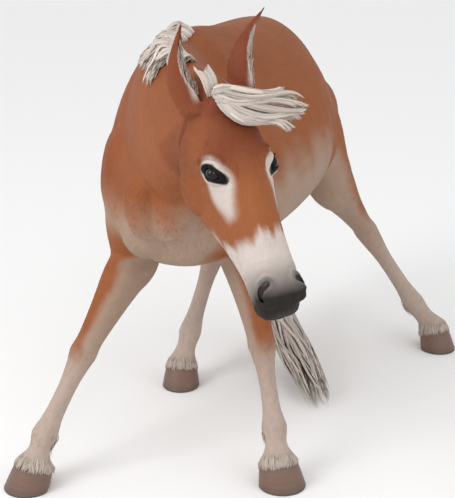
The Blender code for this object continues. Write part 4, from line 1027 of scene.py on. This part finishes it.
def unwrapOf(points):
    # an unwrap of the skin by parts: each part rolled off round its own line into its own tile
    local = toHead(points)
    x, y, z = points.T

    def tile(left, wide, low, a, b, far):
        around = np.arctan2(a, b) / (2 * math.pi) + 0.5
        return np.stack([left + wide * around, low + 0.46 * np.clip(far, 0, 1)], 1)

    out = tile(0.02, 0.46, 0.02, x, z - 0.95, (y + 0.35) / 1.65)
    front = (local[:, 1] > -0.02) & (np.abs(local[:, 0]) < 0.2) & (local[:, 2] > -0.36)
    front = front | (earNearness(points) > 0.5)
    out[front] = tile(0.52, 0.46, 0.02, local[:, 0], local[:, 2] + 0.09, (local[:, 1] + 0.35) / 1.02)[front]
    for i, leg in enumerate(legs.values()):
        distance, share = alongPath(points, leg["joints"], 0.2)
        mine, middle = (distance < 0.16) & (z < 0.66), pick(leg["joints"], share * 4)
        out[mine] = tile(0.02 + 0.245 * i, 0.215, 0.52, x - middle[:, 0], y - middle[:, 1], share)[mine]
    return out


def addUv(piece, name, perVertex):
    layer = piece.data.uv_layers.new(name=name)
    corners = read(piece.data.loops, "vertex_index", 1, np.int32)[:, 0]
    layer.data.foreach_set("uv", perVertex[corners].astype(np.float32).ravel())


def lieOf(points):
    # the way the short coat lies: back and down along the trunk, down the face and legs, up the ears
    local = toHead(points)
    x, y, z = points.T
    side = local[:, :1]
    way = np.stack([0.15 * np.sign(x), 0 * x + 1, -0.35 - 0.25 * ramp(z, 1.1, 0.8)], 1)
    down = along + 0.25 * np.sign(side) * sideway * (np.abs(side) > 0.03)
    turns = [(ramp(-y, 0.05, 0.25), np.array([-0.45, 0.75, -0.35]))]
    turns.append((onFace(local, 0.02, 0.12, 0.17), down))
    for leg in legs.values():
        path = leg["joints"][1:]
        distance, share = alongPath(points, path, 0.22)
        bone = np.clip((share * 3).astype(int), 0, 2)
        turns.append((ramp(distance, 0.2, 0.12) * ramp(z, 0.8, 0.62), unit(path[1:] - path[:-1])[bone]))
    for name in ("right", "left"):
        turns.append((nearPath(points, earPath(name), 0.075, 0.055), earAxes(ears[name])[0]))
    for share, other in turns:
        way = way * (1 - share[:, None]) + share[:, None] * other
    return unit(way)


tufts = {"length": 0.015, "width": 0.004, "height": 0.0006, "tilt": 0.1, "seed": 11,
         "coatTrunkLeft": 34000, "coatTrunkRight": 34000, "coatLegs": 30000, "coatHead": 26000}


def scatterTufts(name, mask, rng):
    # a flat four-cornered sliver for each tuft: two root corners, a low ridge, and a tip back on the coat
    skin.data.calc_loop_triangles()
    tris, count = read(skin.data.loop_triangles, "vertices", 3, np.int32), tufts[name]
    corner = skinPoints[tris]
    area = np.linalg.norm(np.cross(corner[:, 1] - corner[:, 0], corner[:, 2] - corner[:, 0]), axis=1) / 2
    area = area * mask[tris].min(1)
    chosen = rng.choice(len(tris), count, p=area / area.sum())
    r1, r2 = np.sqrt(rng.random(count)), rng.random(count)
    weights = np.stack([1 - r1, r1 * (1 - r2), r1 * r2], 1)[..., None]
    root = (corner[chosen] * weights).sum(1)
    normal = unit((skinNormals[tris[chosen]] * weights).sum(1))
    way = square(lieOf(root), normal)
    way = unit(way + np.cross(normal, way) * rng.normal(0, 0.16, (count, 1)))
    marks = markings(root, normal)
    keep = rng.uniform(0.65, 1.25, (count, 1)) * (1 - 0.55 * marks["onHead"][:, None])
    keep = keep * (1 - 0.35 * marks["limb"][:, None])
    long, wide, high = (tufts[k] * v for k, v in (("length", keep), ("width", 0.5 + 0.5 * keep),
                                                  ("height", 0.5 + 0.5 * keep)))
    foot, half = root - normal * 0.0006, np.cross(normal, way) * wide / 2
    points = np.stack([foot - half, foot + half, root + way * long * 0.35 + normal * high,
                       root + way * long + normal * high * 0.55], 1).reshape(-1, 3)
    faces = np.arange(count)[:, None, None] * 4 + np.array([[2, 1, 0], [3, 2, 0], [2, 3, 1], [1, 3, 0]])
    piece = meshObject(name, points, faces.reshape(-1, 3).tolist(), tuftMaterial, False)
    patch = np.array([[0, 0], [0.0026, 0], [0.0013, 0.001], [0.0013, 0.003]])
    addUv(piece, "OFBake", np.clip((unwrapOf(root)[:, None] + patch).reshape(-1, 2), 0.001, 0.999))
    # every tuft is lit as the coat it lies on, tipped a little its own way
    lit = unit(normal + rng.normal(0, tufts["tilt"], (count, 3)))
    piece.data.normals_split_custom_set_from_vertices(np.repeat(lit, 4, axis=0))
    putMarkings(piece, marks, 4)
    putAttribute(piece, "shade", np.repeat(rng.normal(0, 0.3, count), 4))
    print(name, "tufts", count)
    return piece


def coatPieces():
    rng = np.random.default_rng(tufts["seed"])
    onHead = skinMarks["onHead"] > 0.5
    leg = (skinPoints[:, 2] < 0.62) & ~onHead
    bare = (skinMarks["black"] > 0.25) | (skinMarks["dark"] > 0.8) | (eyeDistance(skinPoints) < 0.034)
    trunkOnly, left = ~onHead & ~leg, skinPoints[:, 0] > 0
    masks = {"coatTrunkLeft": trunkOnly & left, "coatTrunkRight": trunkOnly & ~left, "coatLegs": leg,
             "coatHead": onHead & ~bare}
    return [scatterTufts(name, mask.astype(float), rng) for name, mask in masks.items()]


coat = coatPieces()


def lockMesh(name, locks, thick, surface, rng, sides=6):
    # each lock is a lens-shaped strip carried along its path, narrowing to a point
    paths, flats, widths = (np.array(part) for part in zip(*locks))
    count, knots = paths.shape[:2]
    tangent = unit(np.gradient(paths, axis=1))
    flats = square(flats, tangent)
    across = np.cross(tangent, flats)
    share, turn, rows = np.linspace(0, 1, knots)[:-1], circle(sides), knots - 1
    swell = np.interp(share, (0, 0.2, 0.7, 0.93), (0.55, 1.0, 0.72, 0.3))
    wide = widths[:, None, None] * swell[:, None] / 2 * np.cos(turn)
    deep = thick * (0.35 + 0.65 * swell[:, None]) / 2 * np.sin(turn)
    rings = wide[..., None] * across[:, :-1, None] + deep[..., None] * flats[:, :-1, None]
    rings = paths[:, :-1, None] + rings
    points = np.concatenate([rings.reshape(count, -1, 3), paths[:, :1], paths[:, -1:]], 1)
    one, split, per = gridFaces(rows, sides), (rows - 1) * sides, points.shape[1]
    starts, faces = np.arange(count)[:, None, None] * per, []
    for some in (one[:split], one[split:]):
        faces += (np.array(some) + starts).reshape(-1, len(some[0])).tolist()
    piece = meshObject(name, points.reshape(-1, 3), faces, surface)
    length = np.linalg.norm(np.diff(paths, axis=1), axis=2).sum(1)

    def onLocks(u, v, root, tip):
        # a map with one row per vertex from values on the rings and at both ends
        flat = np.stack(np.broadcast_arrays(u, v), -1).reshape(count, -1, 2)
        ends = [np.broadcast_to(end, (count, 1, 2)) for end in (root, tip)]
        return np.concatenate([flat, *ends], 1)

    u = wide / 0.012 + rng.uniform(0, 40, (count, 1, 1))
    v = share[:, None] * length[:, None, None] / 0.04
    root = np.stack([u[:, 0].mean(1), 0 * length], -1)[:, None]
    tip = np.stack([u[:, -1].mean(1), length / 0.04], -1)[:, None]
    bakeU, bakeV = np.cos(turn) * swell[:, None] * 0.0014 + 0 * v, share[:, None] * 0.003 + 0 * u
    bake = onLocks(bakeU, bakeV, (0, 0), (0, 0.003)) + unwrapOf(paths[:, 1])[:, None] + 0.002
    addUv(piece, "OFBake", np.clip(bake.reshape(-1, 2), 0.001, 0.999))
    addUv(piece, "strand", onLocks(u, v, root, tip).reshape(-1, 2))
    putAttribute(piece, "shade", np.repeat(rng.normal(0, 0.35, count), per))
    return piece


def addLock(locks, path, flat, width):
    locks.append((path, np.broadcast_to(flat, np.shape(path)), width))


def surfacePoint(point):
    hit = skinTree.find_nearest(Vector(np.asarray(point) + shift))
    return np.array(hit[0]) - shift, np.array(hit[1])


def laidPath(root, ways, length, lift, sunk):
    # starts sunk in the skin and follows it at a growing height, turning through the given ways
    spot, normal = surfacePoint(root)
    path, flats = [spot - normal * sunk], [normal]
    here = spot + normal * lift * 0.4
    for i, way in enumerate(ways):
        if i:
            here = here + unit(way) * length / (len(ways) - 1)
            spot, normal = surfacePoint(here)
            height = lift * (0.5 + 0.6 * i / len(ways))
            if (here - spot) @ normal < height:
                here = spot + normal * height
        path.append(here)
        flats.append(normal)
    return np.array(path), np.array(flats)


mane = {"locks": 300, "knots": 15, "length": 0.185, "width": 0.02, "thick": 0.0065, "clumps": 10,
        "reach": 0.56}


def buildMane():
    # locks rooted along the crest that rise, fall to the right and wave in clumps
    rng, locks = np.random.default_rng(3), []
    crest = smoothRows(mm(*trunk["neck"])[1:, :3], 12)
    crest = np.vstack([smoothRows([[0.004, 0.045, 1.2], crest[0]], 6)[:-1], crest])
    sways = rng.normal(-0.1, 0.38, mane["clumps"])
    k = np.linspace(0, 1, mane["knots"] - 1)
    rise = np.interp(k, (0, 0.12, 0.3, 1), (1.0, 0.5, -0.4, -1.1))
    out = np.interp(k, (0, 0.12, 0.35, 1), (0.45, 0.6, 0.4, 0.1))
    for _ in range(mane["locks"]):
        t = rng.uniform(0, mane["reach"])
        at = t * (len(crest) - 1)
        ahead = unit((crest[min(int(at) + 3, len(crest) - 1)] - crest[max(int(at) - 3, 0)]) * (1, 1, 0))
        right = np.cross(ahead, [0, 0, 1.0])
        start = pick(crest, at) + right * rng.uniform(-0.018, 0.016) + (0, 0, 0.7)
        hit = skinTree.ray_cast(Vector(start + shift), Vector((0, 0, -1)))[0]
        if hit is None:
            continue
        clump = int(t / mane["reach"] * mane["clumps"])
        sway, phase = sways[clump] + rng.normal(0, 0.12), clump * 2.3 + rng.uniform(-0.6, 0.6)
        gather = ((clump + 0.5) / mane["clumps"] * mane["reach"] - t) * 12
        drift = (sway + gather) * ramp(k, 0.0, 0.5) + 0.85 * np.sin(k * 10 + phase) * ramp(k, 0.15, 0.4)
        ways = np.outer(out, right) + np.outer(rise, (0, 0, 1)) + np.outer(drift, ahead)
        length = mane["length"] * rng.uniform(0.55, 1.15)
        path, flat = laidPath(np.array(hit) - shift, ways, length, rng.uniform(0.004, 0.02), 0.008)
        addLock(locks, path, flat, mane["width"] * rng.uniform(0.6, 1.3))
    return lockMesh("mane", locks, mane["thick"], maneMaterial, rng)


forelock = {"locks": 180, "clumps": 6, "width": 0.017, "thick": 0.006, "tufts": 26}


def buildForelock():
    # the sheaf between the ears sweeps over the left of the forehead and out past it, and a few locks
    # stand up behind it
    rng, locks = np.random.default_rng(5), []
    for _ in range(forelock["locks"]):
        r, layer = rng.uniform(0, 1), rng.uniform(0, 1)
        clump = int(r * forelock["clumps"])
        tip = 0.22 * r + 0.78 * (clump + 0.5) / forelock["clumps"]
        side = np.interp(tip, (0, 0.3, 0.62, 1), (0.16, 0.245, 0.22, 0.15)) * rng.uniform(0.8, 1.02)
        far = np.interp(tip, (0, 0.3, 0.62, 1), (0.02, 0.056, 0.102, 0.14))
        rise = 0.008 + 0.02 * layer
        curve = smoothRows([(-0.02 + 0.022 * r + rng.normal(0, 0.006), -0.004 + 0.034 * r, -0.028),
                            (-0.044 + 0.012 * r, -0.008 + 0.048 * r, 0.004 + rise),
                            (0.14 * side - 0.03, 0.08 * far + 0.072 * r, 0.016 + rise),
                            (0.46 * side - 0.022, 0.46 * far + 0.05 * r, 0.014 + rise),
                            (0.8 * side, 0.82 * far + 0.014 * r, 0.004 + rise),
                            (side, far + rng.normal(0, 0.004), rise - 0.008)], 3)
        k, phase = np.linspace(0, 1, len(curve)), clump * 1.9 + rng.uniform(-0.5, 0.5)
        wave = 0.0085 * np.sin(k * 11 + phase) * ramp(k, 0.05, 0.3)
        curve = curve + np.stack([0 * k, wave, 0.4 * wave], 1)
        addLock(locks, inHead(*curve.T), unit(upward + 0.25 * rng.normal() * along),
                forelock["width"] * rng.uniform(0.6, 1.25))
    for _ in range(forelock["tufts"]):
        a = rng.uniform(-1, 1)
        curve = smoothRows([(-0.028 + 0.014 * a, -0.004 + rng.normal(0, 0.004), -0.026),
                            (-0.042 + 0.016 * a, -0.014, 0.008), (-0.048 + 0.02 * a, -0.046, 0.022),
                            (-0.06 + 0.024 * a, -0.066 - 0.026 * rng.uniform(0, 1) * abs(a), 0.022)], 5)
        addLock(locks, inHead(*curve.T), upward, forelock["width"] * 0.9)
    return lockMesh("forelock", locks, forelock["thick"], maneMaterial, rng)


tail = {
    "locks": 430, "knots": 26, "width": 0.024, "thick": 0.0042,
    "path": (
        (-14, 1210, 1115), (-30, 1295, 1030), (-60, 1310, 880), (-92, 1265, 700), (-112, 1165, 520),
        (-88, 1040, 350), (-15, 920, 230), (80, 800, 150), (182, 655, 102), (285, 500, 68), (390, 330, 34),
    ),
}


def buildTail():
    # a core over the dock, and locks round it that swing forward to the floor
    rng, locks = np.random.default_rng(9), []
    way = smoothRows(mm(*tail["path"]), 12)
    _, up, side = framesAlong(way, [0.15, 0.25, 1.0])
    last = int(len(way) * 0.5)
    size = np.interp(np.linspace(0, 1, last), (0, 0.4, 0.8, 1), (0.031, 0.036, 0.03, 0.012))
    k = np.linspace(0, 1, tail["knots"])
    for _ in range(tail["locks"]):
        start = rng.uniform(0.0, 0.42) ** 1.3
        end = rng.uniform(0.7, 1.0) if rng.random() < 0.75 else rng.uniform(0.5, 0.75)
        turn, depth = rng.uniform(0, 2 * math.pi), rng.uniform(0.35, 1.0) ** 0.5
        phase = rng.uniform(0, 6.28)
        t = start + (end - start) * k
        centre, sides, ups = (pick(rows, t * (len(way) - 1)) for rows in (way, side, up))
        bundle = np.interp(t, (0, 0.15, 0.4, 0.6, 0.85, 1), (0.03, 0.04, 0.044, 0.064, 0.07, 0.052))
        bundle = bundle * np.where(k < 0.06, 0.8, 1.0) * np.interp(k, (0, 0.1, 1), (0.85, 1.0, depth))
        lean = turn + 0.45 * np.sin(9 * t + phase) + 0.1 * np.sin(31 * t + 2 * phase)
        across, over = np.cos(lean)[:, None] * sides, np.sin(lean)[:, None] * ups
        path = centre + bundle[:, None] * (across + 0.85 * over)
        path[:, 2] = np.maximum(path[:, 2], 0.006)
        addLock(locks, path, across + over, tail["width"] * rng.uniform(0.6, 1.3))
    hair = lockMesh("tail", locks, tail["thick"], tailPaintedLightMaterial, rng)
    dock = meshObject("tailCore", *rounded(way[:last], up[:last], 24, size), tailPaintedLightMaterial)
    addUv(dock, "strand", pointsOf(dock)[:, ::2] * (80, 25))
    putAttribute(dock, "shade", np.full(len(dock.data.vertices), -0.5))
    return hair, dock


feather = {"locks": 280, "tufts": 60, "width": 0.006, "thick": 0.0022, "drop": 0.023}


def buildFeather():
    # pointed locks that hang over the top of each hoof, and a longer tuft behind each fetlock
    rng, locks = np.random.default_rng(13), []
    for leg in legs.values():
        size = hooves[leg["kind"]]["coronet"]
        middle, side, back, up = coronetFrame(leg)
        for _ in range(feather["locks"]):
            turn = rng.uniform(0, 2 * math.pi)
            out = math.cos(turn) * side * size[0] + math.sin(turn) * back * size[1]
            way, rear = unit(out), max(0.0, math.sin(turn))
            rng.normal()  # passed over, so that the draws that follow stay as they are
            start, drop = rng.uniform(0.004, 0.048), feather["drop"] * rng.uniform(0.45, 1.1)
            twist, rim = unit(np.cross(up, way)) * rng.normal(0, 0.005), middle + out * 1.01
            root, normal = surfacePoint(middle + out * 0.85 + up * start)
            half, lean = surfacePoint(middle + out * 0.97 + up * start * 0.45)
            curve = smoothRows([root - normal * 0.004, half + lean * 0.0018,
                                rim - up * drop * 0.35 + way * 0.002 + twist * 0.5,
                                rim - up * drop + way * (0.003 + 0.003 * rear) + twist], 2)
            addLock(locks, curve, way, feather["width"] * rng.uniform(0.6, 1.3))
        fetlock = leg["joints"][3]
        down = unit(middle - fetlock)
        for _ in range(feather["tufts"]):
            turn = rng.normal(0, 0.5)
            out = unit(back * math.cos(turn) + side * math.sin(turn))
            spot, normal = surfacePoint(fetlock + out * 0.05 + down * rng.uniform(-0.015, 0.035))
            reach, knots = rng.uniform(0.024, 0.042), [spot - normal * 0.004]
            for step in (0.35, 0.7, 1.0):
                place, normal = surfacePoint(spot + down * reach * step)
                knots.append(place + normal * (0.001 + 0.005 * step))
            addLock(locks, smoothRows(knots, 2), normal, feather["width"] * rng.uniform(0.6, 1.2))
    return lockMesh("feather", locks, feather["thick"], featherMaterial, rng, 4)


earHair = {"locks": 110, "length": 0.05, "width": 0.006, "thick": 0.0022}


def buildEarHair():
    # soft pale hair that lies up the cup of each ear and over its edges
    rng, locks = np.random.default_rng(17), []
    shares, radii, closings = np.transpose(ears["stations"])
    for name in ("right", "left"):
        spec = ears[name]
        tip, back, side = earAxes(spec)
        for _ in range(earHair["locks"]):
            share = rng.uniform(0.06, 0.72)
            closing = math.radians(np.interp(share, shares, closings))
            turn = rng.choice([-1, 1]) * closing * rng.uniform(0.8, 1.0)
            arc = math.sin(turn) * side + ears["depth"] * math.cos(turn) * back
            inward = unit(-arc)
            root = earMiddle(spec, share) + arc * (np.interp(share, shares, radii) - 0.006)
            reach = earHair["length"] * rng.uniform(0.5, 1.1) * (1 - 0.3 * share)
            knots = [root + inward * a + tip * reach * b for a, b in
                     ((-0.003, 0.0), (0.006, 0.3), (0.009, 0.65), (0.008, 1.0))]
            addLock(locks, smoothRows(knots, 2), inward, earHair["width"] * rng.uniform(0.6, 1.2))
    return lockMesh("earHair", locks, earHair["thick"], featherMaterial, rng, 4)


longHair = [buildMane(), buildForelock(), *buildTail(), buildFeather(), buildEarHair()]
print("long hair built")

eyeLook = {"lid": 0.002, "lashes": 46, "lashLength": 0.015}


def eyeMaterial():
    # a dark brown iris with fine streaks and a black pupil lying across it
    surface, tree, shader = plainMaterial("eyeball", 0.06, 0.3)
    brown = mixed(noise(objectPlace(tree), 420.0), (0.006, 0.004, 0.003), (0.02, 0.01, 0.006))
    colour = mixed(attribute(tree, "iris"), (0.008, 0.005, 0.004), brown)
    put(shader.inputs["Base Color"], mixed(attribute(tree, "pupil"), colour, (0.0015, 0.0015, 0.002)))
    return surface


def buildEyes():
    # a ball with a low cornea, a rounded lid edge round the opening, and lashes on the upper lid
    rng, made, ball = np.random.default_rng(19), [], eyeMaterial()
    lidSkin, tree, shader = plainMaterial("lidSkin", 0.55, 0.15, (0.01, 0.008, 0.008))
    putBump(shader, noise(objectPlace(tree), 380.0), 0.3, 0.001)
    for sign, name in ((-1, "Right"), (1, "Left")):
        outward, inner, up = eyeAxes(sign)
        middle = eyeCentre(sign)
        turned = np.stack([inner, up, outward], axis=1)
        points, faces = ellipsoid(middle, [eyes["radius"]] * 3, turned, 48, 72)
        a, b, c, _ = fromEye(points, sign)
        front = c > 0
        points = points + np.outer(front * 0.0012 * bump(np.hypot(a, b), 0.011), outward)
        piece = meshObject("eye" + name, points, faces, ball)
        putAttribute(piece, "iris", front * ramp(np.hypot(a, b), 0.0185, 0.0165))
        putAttribute(piece, "pupil", front * ramp(np.hypot(a / 0.0125, b / 0.0088), 1.1, 0.9))
        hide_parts("eye_" + name.lower())
        ring, turn = almond(sign, 1.02, 0.001, 96)
        around = np.arange(-3, len(ring) + 3) % len(ring)
        size = eyeLook["lid"] * np.where(np.sin(turn) > 0, 1.15, 0.85)[around]
        rings = ringsOf(ring[around], outward, 14, size, size, size * 1.1)[3:-3]
        quads = gridFaces(len(rings), 14, False)
        start = (len(rings) - 1) * 14
        quads += [[start + j, start + (j + 1) % 14, (j + 1) % 14, j] for j in range(14)]
        lid = meshObject("lids" + name, rings.reshape(-1, 3), quads, lidSkin)
        locks = []
        for _ in range(eyeLook["lashes"]):
            spot = ring[int(rng.uniform(0.12, 0.92) * math.pi / (2 * math.pi) * 96) % 96]
            away = square(spot - middle, outward)
            reach, lean = eyeLook["lashLength"] * rng.uniform(0.6, 1.1), -inner * rng.uniform(0.0, 0.4)
            knots = [spot, spot + (outward * 0.9 + away * 0.15 + lean * 0.3) * reach * 0.5,
                     spot + (outward * 0.75 + away * 0.02 + lean) * reach]
            addLock(locks, smoothRows(knots, 3), up, 0.0011)
        made += [piece, lid, lockMesh("lashes" + name, locks, 0.0008, lidSkin, rng, 4)]
    return made


eyePieces = buildEyes()
print("eyes built")


def hornMaterial():
    # fibres down the wall, rings round it, darker at the ground
    surface, tree, shader = plainMaterial("horn", 0.48)
    place, rise = objectPlace(tree), attribute(tree, "rise")
    fibre = strokes(place, (330.0, 330.0, 26.0))
    rings = addNode(tree, "TexNoise", "Fac", {"noise_dimensions": "1D"}, W=rise, Scale=16.0, Detail=2.0)
    colour = mixed(fibre, (0.128, 0.067, 0.046), (0.192, 0.11, 0.078))
    colour = mixed(noise(place, 22.0) * 0.35, colour, (0.098, 0.052, 0.037))
    colour = mixed(rings * 0.35, colour, (0.218, 0.132, 0.097))
    put(shader.inputs["Base Color"], mixed(doMath("POWER", 1.0 - rise, 6.0), colour, (0.08, 0.055, 0.045)))
    putBump(shader, rings * 0.6 + fibre * 0.4, 0.18, 0.0016)
    return surface


def buildHooves():
    # rings from the sole up to the coronet, with growth rings, a parted heel and a dished sole
    horn, made, turn = hornMaterial(), [], circle(hooves["sides"])
    c, s = np.cos(turn), np.sin(turn)
    across, ahead = c * (1 - 0.1 * ramp(-s, 0.3, 0.6)), np.where(s < 0, s * 0.88, s)
    cleft = 0.01 * bump(np.angle(np.exp(1j * (turn + math.pi / 2))), 0.2)[:, None]
    for name, leg in legs.items():
        size = hooves[leg["kind"]]
        (wide, long), crownSize = size["ground"], np.array(size["coronet"]) - 0.0015
        middle, side, back, up = coronetFrame(leg)
        level = np.cross([0, 0, 1.0], leg["toe"])
        level = level if level @ side > 0 else -level
        ground = leg["joints"][4]
        sole = ground + wide * np.outer(across, level) + long * np.outer(ahead, leg["toe"])
        crown = middle - up * 0.0006 + crownSize[0] * np.outer(c, side) - crownSize[1] * np.outer(s, back)
        outwards = unit(sole - ground)
        rings = [ground + (sole - ground) * reach + [0, 0, high] for reach, high in
                 ((0.1, 0.006), (0.45, 0.0055), (0.8, 0.004), (0.93, 0.0))]
        for share in np.linspace(0, 1, hooves["rings"]):
            ring = (1 - share) * (sole + [0, 0, 0.0015]) + share * crown
            flare = 0.0004 * math.sin(share * 34) * (1 - share) + 0.0016 * math.sin(math.pi * share)
            edge = -0.0012 if share == 0 else 0.0
            rings.append(ring + outwards * (flare - 0.0012 + edge - cleft * (1 - 0.5 * share)))
        rings.append(crown * 0.92 + crown.mean(0) * 0.08 - up * 0.001)
        points, faces = tube(rings)
        points[:, 2] = np.maximum(points[:, 2], 0.0002)
        piece = meshObject("hoof" + name[0].upper() + name[1:], points, faces, horn)
        rises = [0.0] * 4 + [*np.linspace(0, 1, hooves["rings"])] + [1.0]
        putAttribute(piece, "rise", np.concatenate([np.repeat(rises, hooves["sides"]), [0.0, 1.0]]))
        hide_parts(leg["kind"] + "hoof_" + ("right" if leg["side"] < 0 else "left"))
        made.append(piece)
    return made


hoofPieces = buildHooves()
print("hooves built")

# what rides on the root, and the parts of the record that it replaces
flesh = ["torso", "neck", "head", "ear_right", "ear_left"]
for part in ("foreleg_", "forecannon_", "hindleg_", "hindcannon_"):
    flesh += [part + "right", part + "left"]
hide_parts(*flesh)
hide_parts("tail_upper", "tail_lower")
for piece in [skin, *coat, *longHair, *eyePieces, *hoofPieces]:
    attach(piece, "root")

studio = {
    "floor": 14.0, "world": 0.95, "aim": (0.0, 0.0, 0.8),
    # name, place, power and width
    "lights": (("keyLight", (-2.6, -3.4, 3.9), 100.0, 2.4), ("fillLight", (4.2, -1.6, 2.6), 22.0, 3.0),
               ("sparkLight", (0.84, -2.7, 2.5), 8.0, 0.35)),
    "camera": {"place": (1.678, -4.317, 2.3), "pan": 19.5, "dip": 19.23, "lens": 36.0 * 1466 / 498},
}


def aimed(holder, place, way):
    # put at the place, looking along the way
    holder.location = place
    holder.rotation_mode = "QUATERNION"
    holder.rotation_quaternion = Vector(way).to_track_quat("-Z", "Y")


def buildStudio():
    corners = np.array([(-1, -1, 0), (1, -1, 0), (1, 1, 0), (-1, 1, 0)]) * studio["floor"]
    paint = plainMaterial("floorPaint", 0.9, 0.5, (0.86, 0.86, 0.86))[0]
    meshObject("floor", corners - shift, [[0, 1, 2, 3]], paint, False)
    world = bpy.data.worlds.new("studio")
    bpy.context.scene.world = world
    world.use_nodes = True
    put(world.node_tree.nodes["Background"].inputs["Color"], (1.0, 1.0, 1.0))
    world.node_tree.nodes["Background"].inputs["Strength"].default_value = studio["world"]
    for name, place, power, width in studio["lights"]:
        light = bpy.data.lights.new(name, "AREA")
        light.energy, light.size = power, width
        aimed(addObject(name, light), place, np.subtract(studio["aim"], place))
    bpy.context.scene.view_settings.view_transform = "Standard"


def buildCamera():
    view, camera = studio["camera"], bpy.data.cameras.new("camera")
    camera.sensor_width, camera.lens = 36.0, view["lens"]
    pan, dip = math.radians(view["pan"]), math.radians(view["dip"])
    way = (-math.sin(pan) * math.cos(dip), math.cos(pan) * math.cos(dip), -math.sin(dip))
    holder = addObject("camera", camera)
    aimed(holder, np.array(view["place"]) + shift, way)
    bpy.context.scene.camera = holder


buildStudio()
buildCamera()
